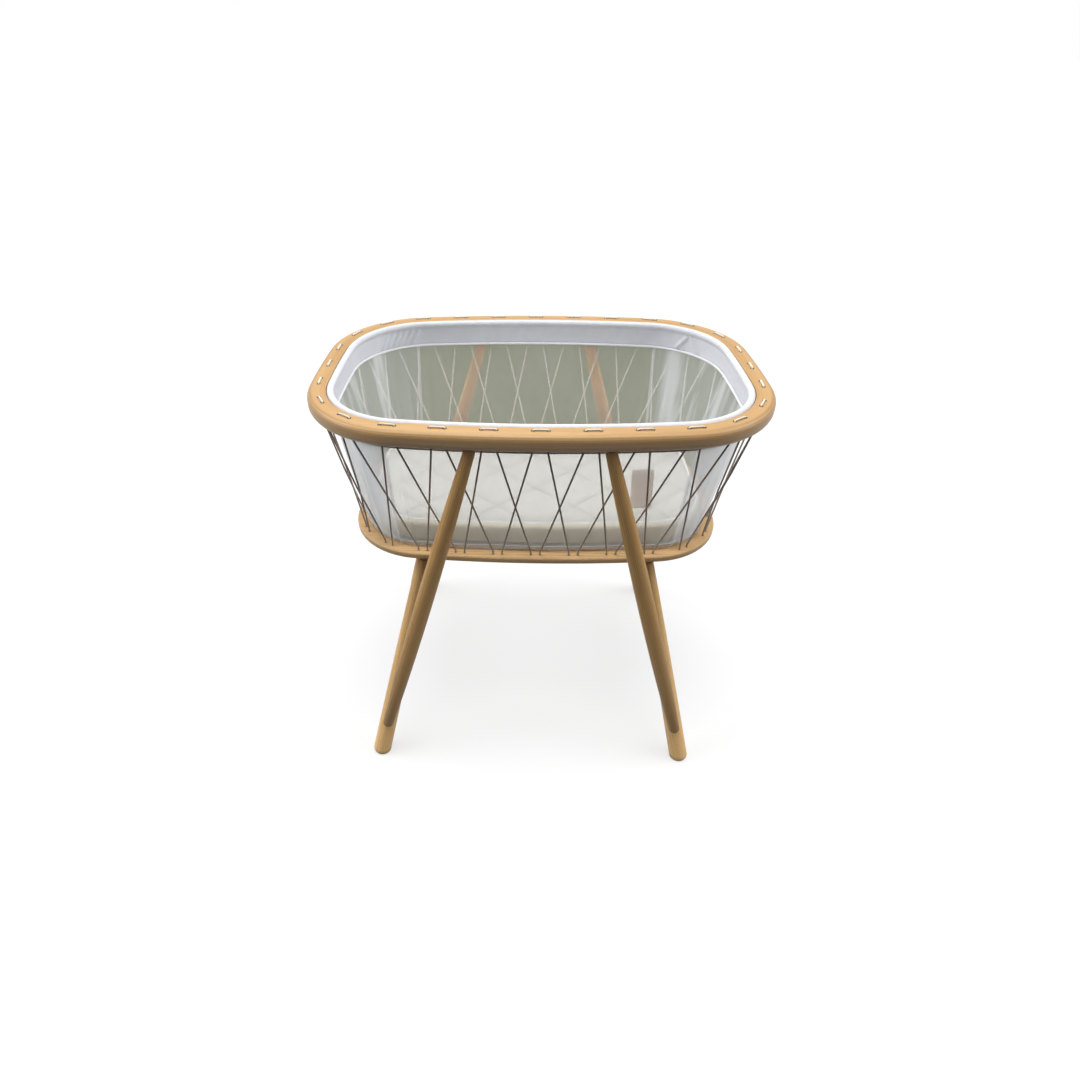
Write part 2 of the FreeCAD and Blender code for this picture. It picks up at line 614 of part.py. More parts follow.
def make_band():
    """The opaque band inside the rim, with its padded hem, its fixing tape and the corded seam below it."""
    outside = [(Oval("rim", "0 - band_inset"), BAND_TOP), (Oval("rim", "0 - band_inset"), BAND_WAIST),
               (Oval("rim", "0 - wall_inset"), BAND_BOTTOM)]
    inside = [(Oval("rim", "0 - band_inset - band_thickness"), BAND_TOP),
              (Oval("rim", "0 - band_inset - band_thickness"), BAND_WAIST),
              (Oval("rim", "0 - wall_inset - band_thickness"), BAND_BOTTOM)]
    band = doc.addObject("Part::Fuse", "band_with_hem")
    band.Base = cut("band", oval_loft("band_outside", outside), oval_loft("band_inside", inside))
    band.Tool = corded_oval("hem", "hem_inset", "( total_height - hem_radius )", "hem_radius")
    finish(band, "liner_band")
    around, within = Oval("rim", "0 - rim_inner_edge"), Oval("rim", "0 - band_inset")
    tape, _ = oval_body("tape", [around, within], "( total_height - tape_top - tape_height )", "tape_height")
    finish(tape, "liner_fixing_tape")
    piping_height = "( total_height - band_bottom - piping_radius )"
    piping = corded_oval("piping", "( wall_inset + band_thickness / 2 )", piping_height, "piping_radius")
    finish(piping, "liner_piping")


def make_mesh():
    """The four sheer walls, which taper from the band to the board."""
    outside = [(Oval("rim", "0 - wall_inset - mesh_thickness / 2"), MESH_TOP),
               (Oval("board", "0 - floor_inset"), MESH_BOTTOM)]
    inside = [(Oval("rim", "0 - wall_inset - mesh_thickness * 1.5"), MESH_TOP),
              (Oval("board", "0 - floor_inset - mesh_thickness"), MESH_BOTTOM)]
    shell = cut("mesh_shell", oval_loft("mesh_outside", outside), oval_loft("mesh_inside", inside))
    corner, far = size("panel_corner"), size("rim_half_length")
    height = number(RIM_TOP)
    zones = {"front": (-corner, -far, 2 * corner, far), "back": (-corner, 0, 2 * corner, far),
             "left": (-far, -far, far - corner, 2 * far), "right": (corner, -far, far - corner, 2 * far)}
    for side, (left, near, length, width) in zones.items():
        zone = doc.addObject("Part::Box", "zone_" + side)
        zone.Length, zone.Width, zone.Height = length, width, height
        zone.Placement = Placement(Vector(left, near, 0), Rotation())
        panel = doc.addObject("Part::Common", "panel_" + side)
        panel.Base, panel.Tool = shell, zone
        finish(panel, "mesh_" + side)
    sheet, _ = oval_body("floor", [Oval("board", "0 - floor_inset")], BOARD_TOP, "floor_thickness")
    finish(sheet, "liner_floor")


def make_label():
    """The blank care label that hangs against the front wall."""
    slope = number("( rim_half_width - wall_inset - board_half_width + floor_inset )")
    drop = number(MESH_TOP) - number(MESH_BOTTOM)
    lean = math.degrees(math.atan2(slope, drop))
    label = doc.addObject("Part::Box", "label")
    label.setExpression("Length", cell("label_width"))
    label.setExpression("Width", cell("label_thickness"))
    label.setExpression("Height", cell("label_length"))
    bottom = number(RIM_TOP) - size("label_drop") - size("label_length")
    wall = -number("( rim_half_width - wall_inset )") + slope * (number(MESH_TOP) - bottom) / drop
    label.Placement = Placement(Vector(size("label_x"), wall + size("label_stand_off"), bottom),
                                Rotation(Vector(1, 0, 0), lean))
    finish(label, "care_label")


def make_mattress():
    """A foam core sewn into a quilted cover."""
    outer = Oval("board", "0 - mattress_inset")
    inner = Oval("board", "0 - mattress_inset - cover_thickness")
    core_bottom = f"( {MATTRESS_BOTTOM} + cover_thickness )"
    core_height = "( mattress_height - 2 * cover_thickness )"
    cover, cover_pad = oval_body("cover", [outer], MATTRESS_BOTTOM, "mattress_height")
    core, core_pad = oval_body("core", [inner], core_bottom, core_height)
    for body, pad, radius in ((cover, cover_pad, "mattress_round"), (core, core_pad, "core_round")):
        box = pad.Shape.BoundBox
        low, high = at_height(box.ZMin), at_height(box.ZMax)
        round_edges(body, pad, radius, lambda edge: low(edge) or high(edge))
    finish(core, "mattress_core")
    finish(cut("cover_shell", cover, core), "mattress_cover")


def main():
    """Builds every sub-part, checks it and writes it out."""
    make_stand(make_rim(), make_board())
    make_cord("lacing_cord_a", 13, -size("crossing_bow"))
    make_cord("lacing_cord_b", 14, size("crossing_bow"))
    make_band()
    make_mesh()
    make_label()
    make_mattress()
    doc.recompute()
    for item in doc.Objects:
        if "Invalid" in item.State or "Error" in item.State:
            raise RuntimeError(f"{item.Name} is {item.State}")
    for part in subparts:
        if part.Shape.isNull() or not part.Shape.isValid() or not part.Shape.Solids:
            raise RuntimeError(f"{part.Label} has no valid solid")
    os.makedirs("parts", exist_ok=True)
    for part in subparts:
        part.Shape.exportStep(f"parts/{part.Label}.step")
    print(f"{len(subparts)} sub-parts written")


main()
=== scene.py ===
import math

import bmesh
import bpy
from mathutils import Matrix, Vector
from mathutils.bvhtree import BVHTree


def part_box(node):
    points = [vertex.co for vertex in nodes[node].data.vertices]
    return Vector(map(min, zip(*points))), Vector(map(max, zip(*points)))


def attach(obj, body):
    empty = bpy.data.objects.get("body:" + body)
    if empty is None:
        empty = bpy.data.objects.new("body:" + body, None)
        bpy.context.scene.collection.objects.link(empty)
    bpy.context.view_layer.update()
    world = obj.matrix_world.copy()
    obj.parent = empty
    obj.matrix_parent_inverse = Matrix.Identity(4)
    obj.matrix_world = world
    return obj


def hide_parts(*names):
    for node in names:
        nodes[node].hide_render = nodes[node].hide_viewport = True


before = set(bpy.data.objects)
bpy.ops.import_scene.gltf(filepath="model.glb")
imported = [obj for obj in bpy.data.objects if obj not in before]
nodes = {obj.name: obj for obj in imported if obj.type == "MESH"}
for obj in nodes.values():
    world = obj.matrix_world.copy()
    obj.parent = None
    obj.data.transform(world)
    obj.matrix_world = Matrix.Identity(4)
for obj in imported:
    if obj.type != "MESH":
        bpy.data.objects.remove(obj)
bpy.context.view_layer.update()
scene = bpy.context.scene

CORNERS = ("front_left", "front_right", "rear_left", "rear_right")
TURN = 2 * math.pi


# ---- camera ----

CAMERA_PLACE = Vector((-0.0387, -1.3073, 1.3694))
CAMERA_PITCH, CAMERA_YAW, CAMERA_ROLL = 0.6512, -0.0369, 0.0080
LENS, SENSOR_WIDTH = 22.683, 36
SHIFT_X, SHIFT_Y = 0.0407, 0.0094
NEAREST, FARTHEST = 0.05, 200


def make_camera():
    """Looks down along +Y by the pitch, turned by the yaw and then rolled."""
    pitch, yaw, roll = CAMERA_PITCH, CAMERA_YAW, CAMERA_ROLL
    ahead = Vector((math.sin(yaw) * math.cos(pitch), math.cos(yaw) * math.cos(pitch), -math.sin(pitch)))
    level = Vector((math.cos(yaw), -math.sin(yaw), 0))
    down = ahead.cross(level)
    right = level * math.cos(roll) + down * math.sin(roll)
    below = down * math.cos(roll) - level * math.sin(roll)
    turned = Matrix((right, -below, -ahead)).transposed().to_4x4()
    data = bpy.data.cameras.new("camera")
    data.lens, data.sensor_width = LENS, SENSOR_WIDTH
    data.shift_x, data.shift_y = SHIFT_X, SHIFT_Y
    data.clip_start, data.clip_end = NEAREST, FARTHEST
    camera = bpy.data.objects.new("camera", data)
    camera.matrix_world = Matrix.Translation(CAMERA_PLACE) @ turned
    scene.collection.objects.link(camera)
    scene.camera = camera


make_camera()


# ---- shader helpers ----

WAVE_PITCH = 0.314  # a wave texture's pitch at a scale of 1
NOISE_ROUGHNESS = 0.55


class Shader:
    """Short ways to add nodes to one material's or the world's tree."""

    def __init__(self, tree):
        self.tree = tree

    def node(self, kind, **settings):
        made = self.tree.nodes.new(kind)
        for name, value in settings.items():
            setattr(made, name, value)
        return made

    def put(self, value, socket):
        if isinstance(value, bpy.types.NodeSocket):
            self.tree.links.new(value, socket)
        else:
            socket.default_value = value

    def fill(self, node, values):
        """Puts a number, a colour or another node's output on each named input."""
        for name, value in values.items():
            self.put(value, node.inputs[name])

    def math(self, operation, *values, clamp=False):
        made = self.node("ShaderNodeMath", operation=operation, use_clamp=clamp)
        for socket, value in zip(made.inputs, values):
            self.put(value, socket)
        return made.outputs[0]

    def place(self):
        return self.node("ShaderNodeTexCoord").outputs["Object"]

    def uv(self):
        return self.node("ShaderNodeTexCoord").outputs["UV"]

    def split(self, vector):
        made = self.node("ShaderNodeSeparateXYZ")
        self.put(vector, made.inputs[0])
        return made.outputs

    def join(self, x, y, z):
        made = self.node("ShaderNodeCombineXYZ")
        for socket, value in zip(made.inputs, (x, y, z)):
            self.put(value, socket)
        return made.outputs[0]

    def mapping(self, vector, location=(0, 0, 0), rotation=(0, 0, 0), scale=(1, 1, 1)):
        made = self.node("ShaderNodeMapping")
        self.fill(made, {"Vector": vector, "Location": location, "Rotation": rotation, "Scale": scale})
        return made.outputs[0]

    def noise(self, vector, scale=1.0, detail=3.0, distortion=0.0):
        made = self.node("ShaderNodeTexNoise")
        self.fill(made, {"Vector": vector, "Scale": scale, "Detail": detail,
                         "Roughness": NOISE_ROUGHNESS, "Distortion": distortion})
        return made.outputs["Fac"]

    def wave(self, vector, pitch, direction="X", kind="BANDS", distortion=0.0, detail_scale=1.0):
        made = self.node("ShaderNodeTexWave", wave_type=kind)
        if kind == "BANDS":
            made.bands_direction = direction
        else:
            made.rings_direction = direction
        self.fill(made, {"Vector": vector, "Scale": WAVE_PITCH / pitch, "Distortion": distortion,
                         "Detail Scale": detail_scale})
        return made.outputs["Fac"]

    def ramp(self, value, stops):
        made = self.node("ShaderNodeValToRGB")
        elements = made.color_ramp.elements
        while len(elements) < len(stops):
            elements.new(0.5)
        for element, (position, colour) in zip(elements, stops):
            element.position = position
            element.color = (*colour, 1)
        self.put(value, made.inputs[0])
        return made.outputs[0]

    def remap(self, value, low, high, new_low, new_high):
        made = self.node("ShaderNodeMapRange", clamp=True)
        for socket, number in zip(made.inputs, (value, low, high, new_low, new_high)):
            self.put(number, socket)
        return made.outputs[0]

    def mix(self, share, first, second, blend="MIX"):
        made = self.node("ShaderNodeMix", data_type="RGBA", blend_type=blend)
        self.put(share, made.inputs[0])
        self.put(first, made.inputs[6])
        self.put(second, made.inputs[7])
        return made.outputs[2]

    def blend(self, share, first, second):
        """One surface mixed with another."""
        made = self.node("ShaderNodeMixShader")
        for socket, value in zip(made.inputs, (share, first, second)):
            self.put(value, socket)
        return made.outputs[0]

    def emission(self, colour):
        made = self.node("ShaderNodeEmission")
        made.inputs["Color"].default_value = rgb(*colour)
        return made.outputs[0]

    def show(self, surface):
        """Makes a surface the one that the material shows."""
        self.put(surface, self.tree.nodes["Material Output"].inputs["Surface"])

    def bump(self, height, distance, strength=1.0, after=None):
        made = self.node("ShaderNodeBump")
        self.fill(made, {"Height": height, "Distance": distance, "Strength": strength})
        if after is not None:
            self.put(after, made.inputs["Normal"])
        return made.outputs[0]


def new_material(name):
    """A material, its shader helper and its surface node."""
    material = bpy.data.materials.new(name)
    material.use_nodes = True
    shader = Shader(material.node_tree)
    surface = material.node_tree.nodes["Principled BSDF"]
    return material, shader, surface


def rgb(red, green, blue):
    return (red, green, blue, 1)


# ---- wood ----

# (share of the grain's tone, colour), from the palest wood to the darkest
HOOP_TONES = [(0.22, (0.62, 0.395, 0.178)), (0.52, (0.545, 0.328, 0.136)), (0.86, (0.430, 0.238, 0.086))]
BOARD_TONES = [(0.22, (0.88, 0.600, 0.320)), (0.52, (0.800, 0.525, 0.262)), (0.86, (0.650, 0.400, 0.180))]
LEG_TONES = [(0.22, (0.90, 0.600, 0.285)), (0.52, (0.830, 0.530, 0.228)), (0.86, (0.680, 0.405, 0.155))]
# painted shade: the struts' tones are a darker copy of the legs' beech, for the shade the struts stand in
STRUT_SHADED_TONES = [(0.22, (0.78, 0.480, 0.205)), (0.52, (0.690, 0.410, 0.158)), (0.86, (0.540, 0.300, 0.100))]
FLECK_COLOUR = (0.26, 0.125, 0.045, 1)
RING_PITCH = 0.0032
HEART_ACROSS, HEART_UP = 0.031, 0.052  # how far from a member's middle the rings have theirs
# painted shade: (lower height, upper height, how dark a member gets at the lower one); it darkens the board's
# lower edge, the struts' lower parts and the feet's rounded ends, where shade falls
NO_SHADE = (-1.0, 0.0, 1.0)
EDGE_SHADE = (0.524, 0.535, 0.62)
STRUT_SHADE = (0.13, 0.72, 0.44)
FOOT_SHADE = (0.002, 0.017, 0.42)
HOOP_GLOSS, BOARD_GLOSS, LEG_GLOSS = 0.26, 0.08, 0.04
HOOP_REACH = 0.37  # the hoop's mean radius, which turns an angle into a length along the grain


def wood_finish(shader, surface, across, up, along, tones, gloss, shade=NO_SHADE):
    """Oiled beech: rings, long fibres and short dark ray flecks, with the grain along one coordinate, and
    painted shade that darkens it below a given height.
    """
    rings_at = shader.join(shader.math("ADD", across, HEART_ACROSS), shader.math("ADD", up, HEART_UP), along)
    slow = shader.noise(shader.mapping(shader.join(across, up, along), scale=(9, 9, 1.4)), detail=2)
    rings = shader.wave(shader.mapping(rings_at, scale=(1, 1, 0.06)), RING_PITCH, "Z", "RINGS",
                        distortion=2.2, detail_scale=0.6)
    fibres = shader.noise(shader.mapping(shader.join(across, up, along), scale=(480, 480, 10)), detail=4)
    flecks = shader.noise(shader.mapping(shader.join(across, up, along), scale=(1100, 1100, 150)), detail=1)
    fleck = shader.remap(flecks, 0.64, 0.72, 0.0, 1.0)
    tone = shader.math("ADD", shader.math("MULTIPLY", rings, 0.30), shader.math("MULTIPLY", fibres, 0.45))
    tone = shader.math("ADD", tone, shader.math("MULTIPLY", slow, 0.35))
    colour = shader.ramp(tone, tones)
    colour = shader.mix(shader.math("MULTIPLY", fleck, 0.34), colour, FLECK_COLOUR)
    # painted shade: darker towards the lower height, for the shade that falls low on a member
    low, high, dark = shade
    painted_shade = shader.remap(shader.split(shader.place())[2], low, high, dark, 1.0)
    colour = shader.mix(1.0, colour, shader.join(painted_shade, painted_shade, painted_shade), "MULTIPLY")
    height = shader.math("SUBTRACT", fibres, shader.math("MULTIPLY", fleck, 0.8))
    shader.fill(surface, {
        "Base Color": colour, "Roughness": shader.remap(fibres, 0.3, 0.7, 0.40, 0.52),
        "Coat Weight": gloss, "Coat Roughness": 0.30, "Specular IOR Level": 0.10 + gloss,
        "Normal": shader.bump(height, 0.00025, 0.35)})


def straight_wood(name, axis, seed, tones=LEG_TONES, gloss=LEG_GLOSS, shade=NO_SHADE):
    """Beech whose grain runs along a straight axis. The seed takes it from another place in the tree."""
    material, shader, surface = new_material(name)
    turned = axis.rotation_difference(Vector((0, 0, 1))).to_euler()
    place = shader.mapping(shader.place(), location=(seed * 0.37, seed * 0.23, seed * 1.1), rotation=turned)
    across, up, along = shader.split(place)
    wood_finish(shader, surface, across, up, along, tones, gloss, shade)
    return material


def hoop_wood(name, centres):
    """Beech whose grain follows the bent hoop: across the grain is the distance from the oval."""
    material, shader, surface = new_material(name)
    x, y, z = shader.split(shader.place())
    angle = shader.math("ARCTAN2", y, x)
    x, y = shader.math("ABSOLUTE", x), shader.math("ABSOLUTE", y)

    def reach(centre_x, centre_y, radius):
        dx, dy = shader.math("SUBTRACT", x, centre_x), shader.math("SUBTRACT", y, centre_y)
        squares = shader.math("ADD", shader.math("MULTIPLY", dx, dx), shader.math("MULTIPLY", dy, dy))
        return shader.math("SUBTRACT", shader.math("SQRT", squares), radius)

    (end_x, end_radius), (side_y, side_radius), (corner_x, corner_y, corner_radius, lower, upper) = centres
    sides = shader.math("MAXIMUM", reach(end_x, 0, end_radius), reach(0, side_y, side_radius))
    corner = reach(corner_x, corner_y, corner_radius)
    dx, dy = shader.math("SUBTRACT", x, corner_x), shader.math("SUBTRACT", y, corner_y)

    def beyond(direction, first, second):
        cross = shader.math("SUBTRACT", shader.math("MULTIPLY", first, math.cos(direction)),
                            shader.math("MULTIPLY", second, math.sin(direction)))
        return shader.math("GREATER_THAN", cross, 0)

    past_lower = beyond(lower, dy, dx)
    before_upper = shader.math("SUBTRACT", 1, beyond(upper, dy, dx))
    in_corner = shader.math("MULTIPLY", past_lower, before_upper)
    across = shader.math("ADD", shader.math("MULTIPLY", in_corner, corner),
                         shader.math("MULTIPLY", shader.math("SUBTRACT", 1, in_corner), sides))
    along = shader.math("MULTIPLY", angle, HOOP_REACH)
    wood_finish(shader, surface, across, z, along, HOOP_TONES, HOOP_GLOSS)
    return material


# ---- cloth, cord, metal and rubber ----

NET_PITCH, PLY_PITCH = 0.0012, 0.0021
CORD_TAUPE, CORD_BROWN = 0.545, 0.72  # painted shade and light: the cord is taupe at the lower height, where more light reaches it, and brown at the upper one, in the rim's shade
CORD_FRONT, CORD_BACK = 0.03, 0.14  # painted light: and it turns cream towards the back, where it is lit
CORD_UNDER_TOP, CORD_TOP = 0.829, 0.835  # painted light: and cream where it goes over the rim, lit from above


def weave(shader, place, pitch):
    """Height of a plain weave of that thread pitch, from two sets of threads."""
    warp = shader.wave(place, pitch, "X")
    weft = shader.wave(place, pitch, "Y")
    return shader.math("MULTIPLY", shader.math("ADD", warp, weft), 0.5)


def cloth(name, light, dark, pitch=0.0009, by_uv=True, sheen=0.25, slub=0.3):
    """A woven cloth: threads, slubs, faint uneven colour and a soft sheen."""
    material, shader, surface = new_material(name)
    place = shader.uv() if by_uv else shader.place()
    threads = weave(shader, place, pitch)
    uneven = shader.noise(shader.mapping(place, scale=(38, 38, 38)), detail=4)
    slubs = shader.noise(shader.mapping(place, scale=(120, 900, 400)), detail=2)
    tone = shader.math("ADD", shader.math("MULTIPLY", threads, 0.35), shader.math("MULTIPLY", uneven, 0.65))
    colour = shader.ramp(tone, [(0.25, dark), (0.72, light)])
    crumple = shader.bump(shader.noise(shader.mapping(place, scale=(55, 55, 55)), detail=3), 0.0016, 0.30)
    grain = shader.math("ADD", threads, shader.math("MULTIPLY", slubs, slub))
    shader.fill(surface, {
        "Base Color": colour, "Roughness": shader.remap(uneven, 0.2, 0.8, 0.78, 0.92),
        "Sheen Weight": sheen, "Sheen Roughness": 0.5, "Specular IOR Level": 0.25,
        "Normal": shader.bump(grain, 0.0003, 0.5, after=crumple)})
    return material, shader, surface


def sheer_cloth(name, light, dark, thin, thick, glow, gathers=0.0):
    """Fine net, which lets light through. Its cover varies with the threads and faint clouding, and with
    gathers, which are denser towards the front."""
    material, shader, surface = cloth(name, light, dark, pitch=NET_PITCH, sheen=0.1)
    place = shader.uv()
    threads = weave(shader, place, NET_PITCH)
    clouds = shader.noise(shader.mapping(place, scale=(7, 5, 1)), detail=3)
    share = shader.math("ADD", shader.math("MULTIPLY", threads, 0.45), shader.math("MULTIPLY", clouds, 0.55))
    cover = shader.remap(share, 0.3, 0.75, thin, thick)
    if gathers:
        streaks = shader.noise(shader.mapping(place, scale=(17, 2.2, 1)), detail=3, distortion=0.4)
        cover = shader.math("ADD", cover, shader.remap(streaks, 0.50, 0.66, 0.0, gathers))
        depth = shader.split(shader.place())[1]
        cover = shader.math("ADD", cover, shader.remap(depth, -0.17, 0.00, gathers, 0.0), clamp=True)
    through = shader.node("ShaderNodeBsdfTranslucent")
    through.inputs["Color"].default_value = rgb(*light)
    lit = shader.blend(glow, surface.outputs[0], through.outputs[0])
    shader.show(shader.blend(cover, shader.node("ShaderNodeBsdfTransparent").outputs[0], lit))
    return material


def cord_material(name):
    """Twisted cotton cord with slanting plies and painted light and shade: brown high up in the rim's shade,
    paler low down, and cream at the back and on top, where it is lit.
    """
    material, shader, surface = new_material(name)
    place = shader.place()
    plies = shader.wave(shader.mapping(place, rotation=(0.6, 0.35, 0.3)), PLY_PITCH, "Z",
                        distortion=0.6, detail_scale=2.0)
    fibres = shader.noise(shader.mapping(place, scale=(1800, 1800, 900)), detail=3)
    _, depth, height = shader.split(place)
    # painted light and shade: one cord in three tones, brown where it is shaded, taupe and cream where it is
    # lit
    brown = shader.ramp(plies, [(0.0, (0.31, 0.24, 0.20)), (0.8, (0.52, 0.43, 0.37))])
    taupe = shader.ramp(plies, [(0.0, (0.38, 0.315, 0.265)), (0.8, (0.60, 0.52, 0.45))])
    cream = shader.ramp(plies, [(0.0, (0.70, 0.65, 0.55)), (0.8, (0.90, 0.86, 0.77))])
    colour = shader.mix(shader.remap(height, CORD_TAUPE, CORD_BROWN, 0.0, 1.0), taupe, brown)
    lit_at_back = shader.remap(depth, CORD_FRONT, CORD_BACK, 0.0, 1.0)
    lit_on_top = shader.remap(height, CORD_UNDER_TOP, CORD_TOP, 0.0, 1.0)
    colour = shader.mix(shader.math("MAXIMUM", lit_at_back, lit_on_top), colour, cream)
    colour = shader.mix(shader.math("MULTIPLY", fibres, 0.15), colour, rgb(0.2, 0.16, 0.13))
    relief = shader.math("ADD", plies, shader.math("MULTIPLY", fibres, 0.3))
    shader.fill(surface, {
        "Base Color": colour, "Roughness": 0.8, "Sheen Weight": 0.2, "Specular IOR Level": 0.25,
        "Normal": shader.bump(relief, 0.0005, 0.7)})
    return material


def metal(name, colour, roughness, metallic):
    """Painted or bare steel with a faint orange-peel surface and scuffs."""
    material, shader, surface = new_material(name)
    place = shader.place()
    peel = shader.noise(place, scale=700, detail=2)
    scuffs = shader.noise(shader.mapping(place, scale=(60, 300, 60)), detail=5)
    dark = tuple(0.7 * channel for channel in colour)
    shader.fill(surface, {
        "Base Color": shader.ramp(scuffs, [(0.35, dark), (0.7, colour)]),
        "Roughness": shader.remap(scuffs, 0.3, 0.7, roughness - 0.08, roughness + 0.1),
        "Metallic": metallic, "Normal": shader.bump(peel, 0.0002, 0.2)})
    return material


def speckled(name, scale, detail, stops, roughness, depth, strength):
    """A rough material with pebbles or pores all over."""
    material, shader, surface = new_material(name)
    specks = shader.noise(shader.place(), scale=scale, detail=detail)
    shader.fill(surface, {"Base Color": shader.ramp(specks, stops), "Roughness": roughness,
                          "Normal": shader.bump(specks, depth, strength)})
    return material


# ---- ovals, as in the CAD: eight tangent arcs ----

RIM_EDGE, BOARD_EDGE = 0.021, 0.013
# the radii of the side, end and corner arcs
RIM_RADII, BOARD_RADII = (2.260, 2.460, 0.186), (2.560, 3.440, 0.143)


class Oval:
    """The rim's or the board's lacing line. A station is an arc's number plus the share of that arc."""

    def __init__(self, half_length, half_width, side, end, corner):
        side_y, end_x = side - half_width, end - half_length
        reach_side, reach_end = side - corner, end - corner
        between = math.hypot(end_x, side_y)
        along = (reach_side ** 2 - reach_end ** 2 + between ** 2) / (2 * between)
        across = math.sqrt(reach_side ** 2 - along ** 2)
        corner_x = (-end_x * along + side_y * across) / between
        corner_y = -side_y + (side_y * along + end_x * across) / between
        lower = math.atan2(corner_y, corner_x + end_x)
        upper = math.atan2(corner_y + side_y, corner_x)
        half = math.pi
        self.centres = ((-end_x, end), (-side_y, side), (corner_x, corner_y, corner, lower, upper))
        self.arcs = [
            (0, side_y, side, half + upper, 2 * half - upper),
            (corner_x, -corner_y, corner, 2 * half - upper, 2 * half - lower),
            (-end_x, 0, end, 2 * half - lower, 2 * half + lower),
            (corner_x, corner_y, corner, lower, upper),
            (0, -side_y, side, upper, half - upper),
            (-corner_x, corner_y, corner, half - upper, half - lower),
            (end_x, 0, end, half - lower, half + lower),
            (-corner_x, -corner_y, corner, half + lower, half + upper),
        ]
        self.length = sum(radius * (stop - start) for _, _, radius, start, stop in self.arcs)

    def station(self, distance):
        """The station at a distance counterclockwise from the middle of the front."""
        _, _, radius, start, stop = self.arcs[0]
        distance = (distance + radius * (stop - start) / 2) % self.length
        for index, (_, _, radius, start, stop) in enumerate(self.arcs):
            span = radius * (stop - start)
            if distance <= span:
                return index + distance / span
            distance -= span
        return 0.0

    def point(self, station, offset=0.0, height=0.0):
        """The point at a station, moved outwards by an offset."""
        index = min(int(station), 7)
        centre_x, centre_y, radius, start, stop = self.arcs[index]
        angle = start + (stop - start) * (station - index)
        reach = radius + offset
        return Vector((centre_x + reach * math.cos(angle), centre_y + reach * math.sin(angle), height))

    def outward(self, station):
        return (self.point(station, 1.0) - self.point(station)).normalized()


def lacing_line(node, edge, radii):
    _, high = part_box(node)
    return Oval(high.x - edge, high.y - edge, *radii)


def heights(node):
    """The lowest and the highest z of a CAD node."""
    low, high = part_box(node)
    return low.z, high.z


rim = lacing_line("top_rim", RIM_EDGE, RIM_RADII)
board = lacing_line("base_board", BOARD_EDGE, BOARD_RADII)
_, rim_top = heights("top_rim")
_, board_top = heights("base_board")
mesh_bottom, mesh_top = heights("mesh_front")


# ---- mesh helpers ----

def ease(value, low, high):
    """0 below low, 1 above high, smooth between."""
    share = min(1.0, max(0.0, (value - low) / (high - low)))
    return share * share * (3 - 2 * share)


def ridge(value, centre, width):
    return math.exp(-((value - centre) / width) ** 2)


def grid_mesh(name, rows, material, close_across=False, close_along=False):
    """A surface through rows of points. UVs are in metres along and across the rows."""
    count, across = len(rows), len(rows[0])
    mesh = bpy.data.meshes.new(name)
    faces, corners_uv = [], []
    width = [0.0]
    for before, after in zip(rows[count // 2], rows[count // 2][1:] + rows[count // 2][:1]):
        width.append(width[-1] + (after - before).length)
    length = [0.0]
    middle = across // 2
    for before, after in zip(rows, rows[1:] + rows[:1]):
        length.append(length[-1] + (after[middle] - before[middle]).length)
    for row in range(count if close_along else count - 1):
        for column in range(across if close_across else across - 1):
            right, ahead = (column + 1) % across, (row + 1) % count
            faces.append((row * across + column, row * across + right,
                          ahead * across + right, ahead * across + column))
            corners_uv += [(width[column], length[row]), (width[column + 1], length[row]),
                           (width[column + 1], length[row + 1]), (width[column], length[row + 1])]
    mesh.from_pydata([point for row in rows for point in row], [], faces)
    layer = mesh.uv_layers.new(name="UVMap")
    layer.data.foreach_set("uv", [number for pair in corners_uv for number in pair])
    mesh.materials.append(material)
    mesh.shade_smooth()
    made = bpy.data.objects.new(name, mesh)
    scene.collection.objects.link(made)
    return made


def thicken(item, thickness):
    solid = item.modifiers.new("thickness", "SOLIDIFY")
    solid.thickness = thickness
    solid.offset = 0
    return item


def ring_rows(line, profile, count, shift=None):
    """Rows of a band round an oval: each row is the profile of (offset, height) at one station."""
    rows = []
    for index in range(count):
        distance = line.length * index / count
        station = line.station(distance)
        outward = line.outward(station)
        row = []
        for offset, height in profile:
            extra = shift(distance, height) if shift else 0.0
            row.append(line.point(station, 0, height) + outward * (offset + extra))
        rows.append(row)
    return rows


def circle_profile(offset, height, radius, sides=12):
    return [(offset + radius * math.cos(TURN * side / sides), height + radius * math.sin(TURN * side / sides))
            for side in range(sides)]


WALL_TOP_INSET, WALL_FOOT_INSET = 0.0212, 0.0126


def wall_point(distance, share):
    """The middle of the sheer wall at a distance round the rim's line and a share of the way down, and the
    direction outwards there."""
    station = rim.station(distance)
    top = rim.point(station, -WALL_TOP_INSET, mesh_top)
    bottom = board.point(station, -WALL_FOOT_INSET, mesh_bottom)
    return top.lerp(bottom, share), (rim.outward(station) + board.outward(station)).normalized()


def wall_distance_at(x, share, low, high):
    """The distance round the rim between two others at which the wall crosses a plane of constant x."""
    rising = wall_point(high, share)[0].x > wall_point(low, share)[0].x
    for _ in range(40):
        middle = (low + high) / 2
        if (wall_point(middle, share)[0].x < x) == rising:
            low = middle
        else:
            high = middle
    return (low + high) / 2


def waves(distance, length, parts):
    """A smooth closed wave round a ring, from (whole number of waves, phase, size) parts."""
    return sum(size * math.sin(TURN * count * distance / length + phase) for count, phase, size in parts)


# ---- materials ----

